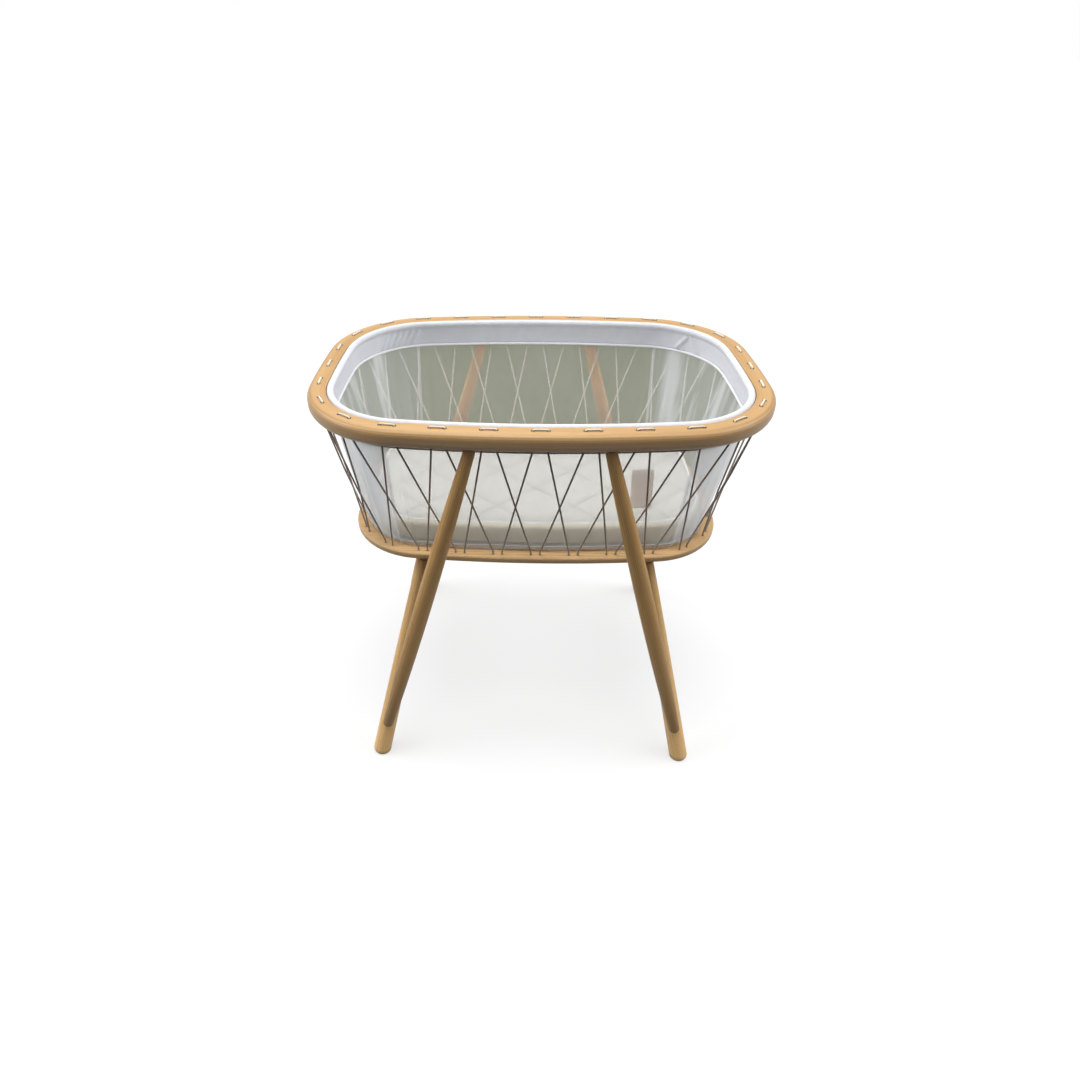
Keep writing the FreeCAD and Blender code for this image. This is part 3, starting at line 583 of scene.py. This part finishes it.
cotton, _, _ = cloth("white_cotton", (0.73, 0.75, 0.795), (0.65, 0.67, 0.72))
hem_cotton, _, _ = cloth("hem_cotton", (0.78, 0.80, 0.835), (0.70, 0.72, 0.76), pitch=0.0008)
side_net = sheer_cloth("sheer_net", (0.84, 0.84, 0.82), (0.74, 0.74, 0.715), thin=0.30, thick=0.42, glow=0.5)
end_net = sheer_cloth("sheer_net_ends", (0.84, 0.855, 0.88), (0.75, 0.765, 0.79),
                      thin=0.32, thick=0.44, glow=0.5, gathers=0.34)
seam_net = sheer_cloth("sheer_net_seams", (0.86, 0.865, 0.87), (0.78, 0.785, 0.79),
                       thin=0.40, thick=0.50, glow=0.5)
floor_cloth, _, _ = cloth("floor_cloth", (0.78, 0.785, 0.79), (0.68, 0.685, 0.70))
label_cloth = sheer_cloth("label_satin", (0.93, 0.88, 0.84), (0.87, 0.82, 0.78),
                          thin=0.90, thick=0.95, glow=0.55)
tape_cloth, _, _ = cloth("hook_tape", (0.78, 0.78, 0.78), (0.62, 0.62, 0.63), pitch=0.0016, slub=1.0)

# the normal of the quilting lines, mirrored for the second set, and their start and spacing
QUILT_NORMAL, QUILT_START, QUILT_SPACING = (0.669, 0.743), -0.055, 0.104
# painted shade along the sunk quilting lines
QUILT_GROOVE_SHADE = (0.42, 0.40, 0.36, 1)
# painted light: the colour that makes the cover's sides paler
SIDE_PAINTED_LIGHT = (0.98, 0.965, 0.92, 1)


def quilted_cloth():
    """The cover's cloth, with painted light that makes its sides paler and painted shade along the stitching
    sunk in the two sets of quilting lines.
    """
    light, dark = (0.585, 0.58, 0.545), (0.52, 0.515, 0.48)
    material, shader, surface = cloth("mattress_cotton", light, dark, pitch=0.0010, by_uv=False)
    colour = surface.inputs["Base Color"].links[0].from_socket
    x, y, _ = shader.split(shader.place())
    facing = shader.split(shader.node("ShaderNodeNewGeometry").outputs["Normal"])[2]
    flat = shader.remap(facing, 0.35, 0.85, 0.0, 1.0)
    # painted light: faces that are not flat turn paler
    colour = shader.mix(flat, shader.mix(0.95, colour, SIDE_PAINTED_LIGHT), colour)
    for side in (-1, 1):
        across = shader.math("ADD", shader.math("MULTIPLY", x, side * QUILT_NORMAL[0]),
                             shader.math("MULTIPLY", y, QUILT_NORMAL[1]))
        share = shader.math("DIVIDE", shader.math("SUBTRACT", across, QUILT_START), QUILT_SPACING)
        away = shader.math("ABSOLUTE", shader.math("SUBTRACT", share, shader.math("ROUND", share)))
        # painted shade: darkens the top along each sunk quilting line
        thread = shader.math("MULTIPLY", flat, shader.remap(away, 0.011, 0.042, 0.72, 0.0))
        colour = shader.mix(thread, colour, QUILT_GROOVE_SHADE)
    shader.put(colour, surface.inputs["Base Color"])
    return material


mattress_cloth = quilted_cloth()
piping_cloth, _, _ = cloth("piping_cotton", (0.88, 0.895, 0.93), (0.80, 0.815, 0.85), pitch=0.0007)
cord = cord_material("lacing_cord")
steel = metal("painted_steel", (0.045, 0.038, 0.032), 0.45, 0.6)
fastener = metal("zinc_steel", (0.55, 0.54, 0.52), 0.32, 1.0)
pad_rubber = speckled("pad_rubber", 900, 3, [(0.3, (0.016, 0.014, 0.012)), (0.75, (0.045, 0.040, 0.035))],
                      roughness=0.85, depth=0.0004, strength=0.5)
open_foam = speckled("open_foam", 1200, 2, [(0.35, (0.62, 0.56, 0.42)), (0.7, (0.82, 0.77, 0.62))],
                     roughness=0.95, depth=0.0006, strength=0.6)


def dress(node, material):
    """Gives a CAD node one material."""
    data = nodes[node].data
    data.materials.clear()
    data.materials.append(material)
    data.shade_smooth()


# how far a front member moves outwards, along x and along y, for each unit that it comes down; the rear ones
# lean nearly as far, so their grain follows the same axis
LEANS = {"strut": (0.296, 0.035), "leg": (0.247, 0.208)}


def leg_axis(kind, corner):
    """The direction of a corner's strut or floor leg, upwards."""
    lean_x, lean_y = LEANS[kind]
    side_x = -1 if "left" in corner else 1
    side_y = -1 if "front" in corner else 1
    return Vector((-side_x * lean_x, -side_y * lean_y, 1)).normalized()


dress("top_rim", hoop_wood("beech_hoop", rim.centres))
dress("base_board", straight_wood("beech_board", Vector((1, 0, 0)), 1, BOARD_TONES, BOARD_GLOSS, EDGE_SHADE))
for seed, corner in enumerate(CORNERS):
    strut_wood = straight_wood("beech_strut_" + corner, leg_axis("strut", corner), 2 + seed, STRUT_SHADED_TONES,
                               shade=STRUT_SHADE)
    dress("rim_strut_" + corner, strut_wood)
    leg_wood = straight_wood("beech_leg_" + corner, leg_axis("leg", corner), 7 + seed, shade=FOOT_SHADE)
    dress("floor_leg_" + corner, leg_wood)
    dress("leg_collar_" + corner, leg_wood)
    dress("foot_pad_" + corner, pad_rubber)
    dress("strut_bracket_" + corner, steel)
dowel_wood = straight_wood("beech_dowel", Vector((0, 0, 1)), 12)
for node in ("rim_dowels", "foot_dowels"):
    dress(node, dowel_wood)
for node in ("leg_bolts", "leg_inserts", "bracket_screws"):
    dress(node, fastener)
for node in ("lacing_cord_a", "lacing_cord_b"):
    dress(node, cord)


def hole_shade():
    """Painted shade: a dark colour for the shade inside the lacing holes."""
    material, shader, surface = new_material("hole_shade")
    shade_specks = shader.noise(shader.place(), scale=900, detail=2)
    hole_shade_colour = shader.ramp(shade_specks, [(0.3, (0.030, 0.014, 0.008)), (0.7, (0.085, 0.040, 0.020))])
    shader.fill(surface, {"Base Color": hole_shade_colour, "Roughness": 0.9})
    return material


LACE_PAIRS, RIM_HOLE_GAP, HOLE_RADIUS, HOLE_SIDES = 28, 0.026, 0.00272, 16
# (extra radius, height above the rim), from inside the hole out to its lip
HOLE_PROFILE = [(0, -0.009), (0, -0.0006), (0, 0.00015), (0.0010, 0.0002)]


def make_hole_painted_shade():
    """A dark lining in the bore and a dark ring round the lip of each lacing hole in the top of the rim,
    painted shade for the shade in the hole.
    """
    points, faces = [], []
    for hole in range(2 * LACE_PAIRS):
        distance = (hole // 2) * rim.length / LACE_PAIRS + (hole % 2 - 0.5) * RIM_HOLE_GAP
        centre = rim.point(rim.station(distance), 0, rim_top)
        first = len(points)
        for extra, rise in HOLE_PROFILE:
            radius = HOLE_RADIUS + extra
            for side in range(HOLE_SIDES):
                angle = TURN * side / HOLE_SIDES
                points.append(centre + Vector((radius * math.cos(angle), radius * math.sin(angle), rise)))
        for ring in range(len(HOLE_PROFILE) - 1):
            for side in range(HOLE_SIDES):
                right = (side + 1) % HOLE_SIDES
                low, high = first + ring * HOLE_SIDES, first + (ring + 1) * HOLE_SIDES
                faces.append((low + side, low + right, high + right, high + side))
    mesh = bpy.data.meshes.new("rim_hole_painted_shade")
    mesh.from_pydata(points, [], faces)
    mesh.materials.append(hole_shade())
    mesh.shade_smooth()
    made = bpy.data.objects.new("rim_hole_painted_shade", mesh)
    scene.collection.objects.link(made)
    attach(made, "stand")


make_hole_painted_shade()


# ---- liner ----

RING_STEPS = 900
# (whole number of waves round the ring, phase, size)
BAND_SWELL = [(7, 0.4, 0.0006), (13, 1.9, 0.0004), (29, 2.6, 0.00025)]


def band_shift(distance, height):
    """Soft unevenness of the band, pulled tight at the hem and at the piping, with a few slanting puckers."""
    below_hem = 1 - ease(height, hem_height - 0.014, hem_height - 0.006)
    hang = ease(height, band_bottom, band_bottom + 0.010) * below_hem
    extra = waves(distance, rim.length, BAND_SWELL) * hang
    drop = rim_top - height
    for centre, slant, size in PUCKERS:
        at = centre + slant * (drop - 0.032)
        extra -= size * hang * ridge(distance, at, 0.0040 + 0.4 * max(0.0, size - 0.0045))
    return extra


def corner_distance(index):
    """The distance of the middle of one corner arc, counted as the arcs are."""
    spans = [radius * (stop - start) for _, _, radius, start, stop in rim.arcs]
    return (spans[0] + spans[index]) / 2 + sum(spans[1:index])


REAR_RIGHT, REAR_LEFT = corner_distance(3), corner_distance(5)
# (distance round the rim, slant, depth)
PUCKERS = [(REAR_LEFT + 0.017 * step - 0.100, 0.7, 0.0036 + 0.0009 * (step % 2)) for step in range(6)]
PUCKERS += [(REAR_RIGHT - 0.004, -0.9, 0.0048), (REAR_RIGHT + 0.034, 0.9, 0.0052)]
PUCKERS += [(corner_distance(1) + 0.02, 0.5, 0.0012), (corner_distance(7) - 0.03, -0.5, 0.0012)]

HEM_RADIUS, HEM_OFFSET = 0.006, -0.0225
band_bottom, band_top = heights("liner_band")
hem_height = band_top - HEM_RADIUS
piping_height = sum(heights("liner_piping")) / 2
tape_bottom, tape_top = heights("liner_fixing_tape")

BACK_OFFSET, FRONT_OFFSET = -0.0176, -0.0202


def band_profile():
    """(offset, height) from behind the hem, over its roll and down the inside to the piping."""
    profile = [(BACK_OFFSET, hem_height - 0.0200), (BACK_OFFSET - 0.0002, hem_height - 0.0130),
               (BACK_OFFSET - 0.0004, hem_height - 0.0065)]
    for step in range(13):
        angle = math.radians(222 - 21.5 * step)
        profile.append((HEM_OFFSET - HEM_RADIUS * math.cos(angle), hem_height + HEM_RADIUS * math.sin(angle)))
    top, bottom = hem_height - 0.0085, band_bottom - 0.0005
    for step in range(10):
        share = step / 9
        offset = FRONT_OFFSET - 0.0010 * share - 0.0006 * math.sin(math.pi * share)
        profile.append((offset, top + (bottom - top) * share))
    return profile


band = grid_mesh("liner_band_cloth", ring_rows(rim, band_profile(), RING_STEPS, band_shift), cotton,
                 close_along=True)
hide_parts("liner_band")
thicken(band, 0.0012)


def closed_ring(name, profile, material, count=RING_STEPS):
    """A closed section carried once round the rim's line."""
    return grid_mesh(name, ring_rows(rim, profile, count), material, close_across=True, close_along=True)


stitch_section = circle_profile(-0.0206, hem_height - 0.0088, 0.0006, sides=6)
hem_stitch = closed_ring("liner_hem_stitches", stitch_section, hem_cotton)

piping_section = circle_profile(-0.0229, piping_height + 0.0003, 0.0026)
piping = closed_ring("liner_piping_cord", piping_section, piping_cloth)
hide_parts("liner_piping")

TAPE_BACK, TAPE_FACE = -0.0152, -0.0166
tape_section = [(TAPE_BACK, tape_bottom), (TAPE_BACK, tape_top),
                (TAPE_FACE, tape_top), (TAPE_FACE, tape_bottom)]
tape = closed_ring("liner_tape", tape_section, tape_cloth, RING_STEPS // 2)
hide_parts("liner_fixing_tape")

CORNER_ARCS = (1, 3, 5, 7)
FOLD_SPACING = 0.031
WALL_SWELL = [(9, 0.7, 0.0007), (17, 2.2, 0.0004)]
WALL_SAG, FOOT_TUCK = 0.0012, 0.0032


def corner_folds():
    """(distance, size, width) of the nine folds at each corner of the sheer wall, unevenly spaced."""
    folds = []
    for index in CORNER_ARCS:
        for step in range(-4, 5):
            distance = corner_distance(index) + FOLD_SPACING * step + 0.006 * math.sin(3.7 * step + index)
            size = 0.0016 + 0.0007 * math.sin(2.1 * step + index)
            folds.append((distance, size, 0.0075 + 0.002 * math.sin(step + index)))
    return folds


WALL_FOLDS = corner_folds()


def wall_shift(distance, share):
    """How far the wall stands from flat: folds at the corners, a slight inward sag, a tucked foot."""
    distance = distance % rim.length
    spread = ease(share, 0.03, 0.5)
    extra = 0.0
    for centre, size, width in WALL_FOLDS:
        near = (distance - centre % rim.length + rim.length / 2) % rim.length - rim.length / 2
        if abs(near) < 4 * width:
            extra += size * spread * math.exp(-(near / width) ** 2)
    extra += waves(distance, rim.length, WALL_SWELL) * spread
    extra -= WALL_SAG * math.sin(math.pi * share)
    extra -= FOOT_TUCK * ease(share, 0.90, 1.0)
    return extra


def wall_rows(start, stop, columns, levels, lift=0.0, low=0.0, high=1.0):
    """Rows down a panel of the wall between two distances, which are functions of the share of the way down.
    The panel runs from the share low to the share high, and stands off the wall by the lift."""
    rows = []
    for level in range(levels + 1):
        share = low + (high - low) * level / levels
        first, last = start(share), stop(share)
        row = []
        for column in range(columns + 1):
            distance = first + (last - first) * column / columns
            spot, outward = wall_point(distance, share)
            row.append(spot + outward * (wall_shift(distance, share) + lift))
        rows.append(row)
    return rows


SEAM_X, SEAM_HALF_WIDTH = 0.275, 0.004
quarter = rim.length / 4


def seam(x, low, high):
    """The seam's distance round the rim as a function of the share of the way down."""
    return lambda share: wall_distance_at(x, share, low, high)


front_right = seam(SEAM_X, 0.0, quarter * 0.9)
rear_right = seam(SEAM_X, quarter * 1.1, quarter * 2)
rear_left = seam(-SEAM_X, quarter * 2, quarter * 2.9)
front_left = seam(-SEAM_X, quarter * 3.1, quarter * 4)
panels = {
    "front": (lambda share: front_left(share) - rim.length, front_right, 150, side_net),
    "right": (front_right, rear_right, 170, end_net),
    "back": (rear_right, rear_left, 150, side_net),
    "left": (rear_left, front_left, 170, end_net),
}
wall_panels = []
for side, (start, stop, columns, net) in panels.items():
    panel = grid_mesh("mesh_" + side + "_net", wall_rows(start, stop, columns, 48), net)
    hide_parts("mesh_" + side)
    wall_panels.append(panel)

seam_tapes = []
for name, at in (("front_right", front_right), ("rear_right", rear_right), ("rear_left", rear_left),
                 ("front_left", front_left)):
    rows = wall_rows(lambda share: at(share) - SEAM_HALF_WIDTH, lambda share: at(share) + SEAM_HALF_WIDTH,
                     4, 60, lift=-0.0008)
    strip = grid_mesh("seam_tape_" + name, rows, seam_net)
    seam_tapes.append(strip)

foot_rows = wall_rows(lambda share: 0.0, lambda share: rim.length * 0.99999, RING_STEPS, 6, lift=0.0007,
                      low=0.955, high=0.998)
foot_hem = thicken(grid_mesh("liner_foot_hem", foot_rows, hem_cotton), 0.0008)


def floor_rings():
    """Rings of the cloth on the board, from the middle outwards, with very faint wrinkles."""
    rows = []
    for ring in range(41):
        share = max(0.02, ring / 40)
        row = []
        for index in range(240):
            spot = board.point(rim.station(rim.length * index / 240), -0.0150) * share
            wrinkle = 0.00025 * math.sin(41 * spot.x + 3 * math.sin(23 * spot.y))
            row.append(Vector((spot.x, spot.y, board_top + 0.0006 + wrinkle)))
        rows.append(row)
    return rows


floor_sheet = grid_mesh("liner_floor_cloth", floor_rings(), floor_cloth, close_across=True)
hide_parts("liner_floor")


LABEL_WIDTH, LABEL_DRIFT = 0.040, 0.010


def label_rows():
    """Rows down the blank label, which is sewn on at its top and hangs free, a little curled."""
    low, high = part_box("care_label")
    rows = []
    for level in range(29):
        share = level / 28
        height = high.z - (high.z - low.z) * share
        wall_share = (mesh_top - height) / (mesh_top - mesh_bottom)
        row = []
        for column in range(17):
            x = low.x - 0.003 + LABEL_WIDTH * column / 16 + LABEL_DRIFT * share
            at = wall_distance_at(x, wall_share, 0.0, quarter * 0.9)
            spot, outward = wall_point(at, wall_share)
            curl = 0.0022 + 0.0016 * math.sin(math.pi * column / 16) + 0.0035 * share * share
            row.append(spot - outward * (curl - min(0.0, wall_shift(at, wall_share))))
        rows.append(row)
    return rows


label = grid_mesh("care_label_tape", label_rows(), label_cloth)
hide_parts("care_label")
thicken(label, 0.0004)


# ---- mattress ----

def make_cushion(name, inset, low, high, edge, material):
    """A closed oval pad with rounded edges."""
    profile = []
    for start, centre in ((-90, low + edge), (0, high - edge)):
        for step in range(7):
            angle = math.radians(start + 15 * step)
            profile.append((-inset - edge + edge * math.cos(angle), centre + edge * math.sin(angle)))
    rows = []
    for index in range(240):
        station = rim.station(rim.length * index / 240)
        rows.append([board.point(station, offset, height) for offset, height in profile])
    made = grid_mesh(name, rows, material, close_along=True)
    shape = bmesh.new()
    shape.from_mesh(made.data)
    bmesh.ops.holes_fill(shape, edges=[e for e in shape.edges if e.is_boundary], sides=0)
    bmesh.ops.recalc_face_normals(shape, faces=shape.faces)
    shape.to_mesh(made.data)
    shape.free()
    return made


FOAM_INSET, COVER_INSET, CUSHION_EDGE = 0.0235, 0.0210, 0.012
mattress_low, mattress_high = heights("mattress_cover")
foam = make_cushion("mattress_foam", FOAM_INSET, mattress_low + 0.006, mattress_high - 0.007, CUSHION_EDGE,
                    open_foam)
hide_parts("mattress_core")
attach(foam, "mattress")

cover = make_cushion("mattress_cover_cloth", COVER_INSET, mattress_low + 0.002, mattress_high - 0.005,
                     CUSHION_EDGE, mattress_cloth)


def apply_modifiers(item):
    """Replaces an object's mesh with the one its modifiers make."""
    graph = bpy.context.evaluated_depsgraph_get()
    final = bpy.data.meshes.new_from_object(item.evaluated_get(graph))
    item.modifiers.clear()
    item.data = final


def even_out(item, voxel):
    """Gives a closed pad an even mesh, which cloth can fold."""
    remesh = item.modifiers.new("remesh", "REMESH")
    remesh.mode = "VOXEL"
    remesh.voxel_size = voxel
    remesh.use_smooth_shade = True
    apply_modifiers(item)


def inflate(item, pressure, frames, cap):
    """Swells a closed pad as cloth under pressure, and limits how far any point moves."""
    start = [vertex.co.copy() for vertex in item.data.vertices]
    settings = item.modifiers.new("cloth", "CLOTH").settings
    settings.use_pressure = True
    settings.uniform_pressure_force = pressure
    settings.quality = 4
    settings.mass = 0.3
    settings.tension_stiffness = settings.compression_stiffness = 12
    settings.bending_stiffness = 3
    settings.effector_weights.gravity = 0
    for step in range(1, frames + 1):
        scene.frame_set(step)
    apply_modifiers(item)
    for vertex, before in zip(item.data.vertices, start):
        moved = vertex.co - before
        if moved.length > cap:
            vertex.co = before + moved * (cap / moved.length)
    scene.frame_set(1)


BED_GAP = 0.0004
SEAM_FROM_LOW, SEAM_FROM_HIGH = 0.009, 0.008
QUILT_DEPTH, SEAM_DEPTH = 0.0038, 0.0016


def settle_cover(item):
    """Keeps the cover on its bed, sinks the quilting lines and draws in the two seams."""
    low, high = mattress_low + BED_GAP, mattress_high
    for vertex in item.data.vertices:
        spot = vertex.co
        spot.z = max(spot.z, low)
        level = ease(vertex.normal.z, 0.80, 0.98)
        if level > 0 and spot.z > high - 0.012:
            for side in (-1, 1):
                across = QUILT_NORMAL[0] * side * spot.x + QUILT_NORMAL[1] * spot.y - QUILT_START
                line = abs(across / QUILT_SPACING - round(across / QUILT_SPACING)) * QUILT_SPACING
                spot.z -= level * (QUILT_DEPTH * ridge(line, 0, 0.0050) - 0.0006 * ridge(line, 0.012, 0.006))
        for seam_height in (low + SEAM_FROM_LOW, high - SEAM_FROM_HIGH):
            pull = SEAM_DEPTH * ridge(spot.z, seam_height, 0.0032)
            flat = Vector((spot.x, spot.y, 0))
            if flat.length > 0.15:
                spot -= flat.normalized() * pull
    item.data.update()


even_out(cover, voxel=0.006)
inflate(cover, pressure=4.0, frames=20, cap=0.006)
settle_cover(cover)
smooth = cover.modifiers.new("smooth", "SUBSURF")
smooth.levels = smooth.render_levels = 1
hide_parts("mattress_cover")
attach(cover, "mattress")


def cover_piping(name, height):
    """Piping on the cover's seam, laid on the cover's own surface and smoothed along its run."""
    tree = BVHTree.FromObject(cover, bpy.context.evaluated_depsgraph_get())
    count, sides, radius, window = 600, 8, 0.0017, 12
    stations = [rim.station(rim.length * index / count) for index in range(count)]
    reach = []
    for station in stations:
        outside = board.point(station, 0.02, height)
        reach.append(0.02 - tree.ray_cast(outside, -board.outward(station))[3])
    rows = []
    for index, station in enumerate(stations):
        near = [reach[(index + step) % count] for step in range(-window, window + 1)]
        offset = (sum(near) / len(near) + max(near)) / 2 + 0.0006
        outward = board.outward(station)
        centre = board.point(station, offset, height)
        rows.append([centre + (outward * math.cos(TURN * side / sides) + Vector((0, 0, 1)) *
                               math.sin(TURN * side / sides)) * radius for side in range(sides)])
    made = grid_mesh(name, rows, piping_cloth, close_across=True, close_along=True)
    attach(made, "mattress")
    return made


cover_piping("mattress_piping_top", mattress_high - SEAM_FROM_HIGH)
cover_piping("mattress_piping_low", mattress_low + BED_GAP + SEAM_FROM_LOW)


# ---- riding ----

for piece in (band, hem_stitch, piping, tape, *wall_panels, *seam_tapes, foot_hem, floor_sheet, label):
    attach(piece, "stand")


# ---- stage and light ----

BEYOND_NET = (0.165, 0.186, 0.100)
FLOOR_REACH, FLOOR_GLOW = 40, 0.62


def through_net(shader):
    """1 where the floor or the background is seen through sheer cloth, as if it stood in a dim room."""
    path = shader.node("ShaderNodeLightPath")
    behind = shader.math("GREATER_THAN", path.outputs["Transparent Depth"], 0.5)
    return shader.math("MULTIPLY", behind, path.outputs["Is Camera Ray"])


def make_stage():
    """A pale floor that throws no light on the object."""
    mesh = bpy.data.meshes.new("floor")
    reach = FLOOR_REACH
    mesh.from_pydata([(-reach, -reach, 0), (reach, -reach, 0), (reach, reach, 0), (-reach, reach, 0)], [],
                     [(0, 1, 2, 3)])
    floor = bpy.data.objects.new("floor", mesh)
    scene.collection.objects.link(floor)
    material, shader, surface = new_material("studio_floor")
    specks = shader.noise(shader.place(), scale=3, detail=2)
    pale = shader.ramp(specks, [(0.3, (0.88, 0.88, 0.885)), (0.7, (0.90, 0.90, 0.90))])
    shader.fill(surface, {"Base Color": pale, "Roughness": 0.9, "Specular IOR Level": 0.1})
    lit = shader.blend(FLOOR_GLOW, surface.outputs[0], shader.emission((1, 1, 1)))
    shader.show(shader.blend(through_net(shader), lit, shader.emission(BEYOND_NET)))
    mesh.materials.append(material)
    floor.visible_diffuse = False


def make_world():
    """Soft light from above, dimmer from the front and from below; a white background."""
    world = bpy.data.worlds.new("studio")
    world.use_nodes = True
    scene.world = world
    shader = Shader(world.node_tree)
    background = world.node_tree.nodes["Background"]
    _, y, z = shader.split(shader.node("ShaderNodeTexCoord").outputs["Generated"])
    above = shader.remap(z, -0.10, 0.80, 0.10, 0.95)
    behind = shader.remap(y, -0.40, 0.42, 0.12, 1.0)
    strength = shader.math("MULTIPLY", above, behind)
    seen = shader.node("ShaderNodeLightPath").outputs["Is Camera Ray"]
    strength = shader.math("MAXIMUM", strength, seen)
    colour = shader.mix(seen, rgb(0.98, 0.99, 1.0), rgb(1, 1, 1))
    colour = shader.mix(through_net(shader), colour, rgb(*BEYOND_NET))
    shader.fill(background, {"Strength": strength, "Color": colour})


def hang_lamp(name, kind, energy, aim, place):
    """Adds a lamp that shines along a direction, and returns its object and its data."""
    data = bpy.data.lights.new(name, kind)
    data.energy = energy
    lamp = bpy.data.objects.new(name, data)
    lamp.rotation_mode = "QUATERNION"
    lamp.rotation_quaternion = Vector(aim).to_track_quat("-Z", "Y")
    lamp.location = place
    scene.collection.objects.link(lamp)
    return lamp, data


def sun(name, aim, strength, spread):
    _, data = hang_lamp(name, "SUN", strength, aim, Vector(aim) * -3)
    data.angle = math.radians(spread)


def inside_lamp():
    """A soft lamp over the basket, for the light that the white cloths throw on each other."""
    lamp, data = hang_lamp("inside", "AREA", 1.15, (0, 0.47, -0.37), (0, -0.19, rim_top + 0.34))
    data.shape = "RECTANGLE"
    data.size, data.size_y = 0.56, 0.08
    lamp.visible_camera = False


def foot_lamp():
    """A low lamp in front, on the feet and the lower legs only."""
    _, data = hang_lamp("feet", "SPOT", 34, (0, 1.6, -0.17), (0, -1.9, 0.25))
    data.spot_size, data.spot_blend = math.radians(34), 0.7
    data.shadow_soft_size = 0.25


make_stage()
make_world()
inside_lamp()
foot_lamp()
sun("overhead", (0.03, 0.06, -1.0), 1.75, 34)
sun("left_side", (1.0, 0.0, -0.60), 1.4, 40)
sun("right_side", (-1.0, 0.0, -0.60), 1.2, 40)
scene.view_settings.view_transform = "Standard"
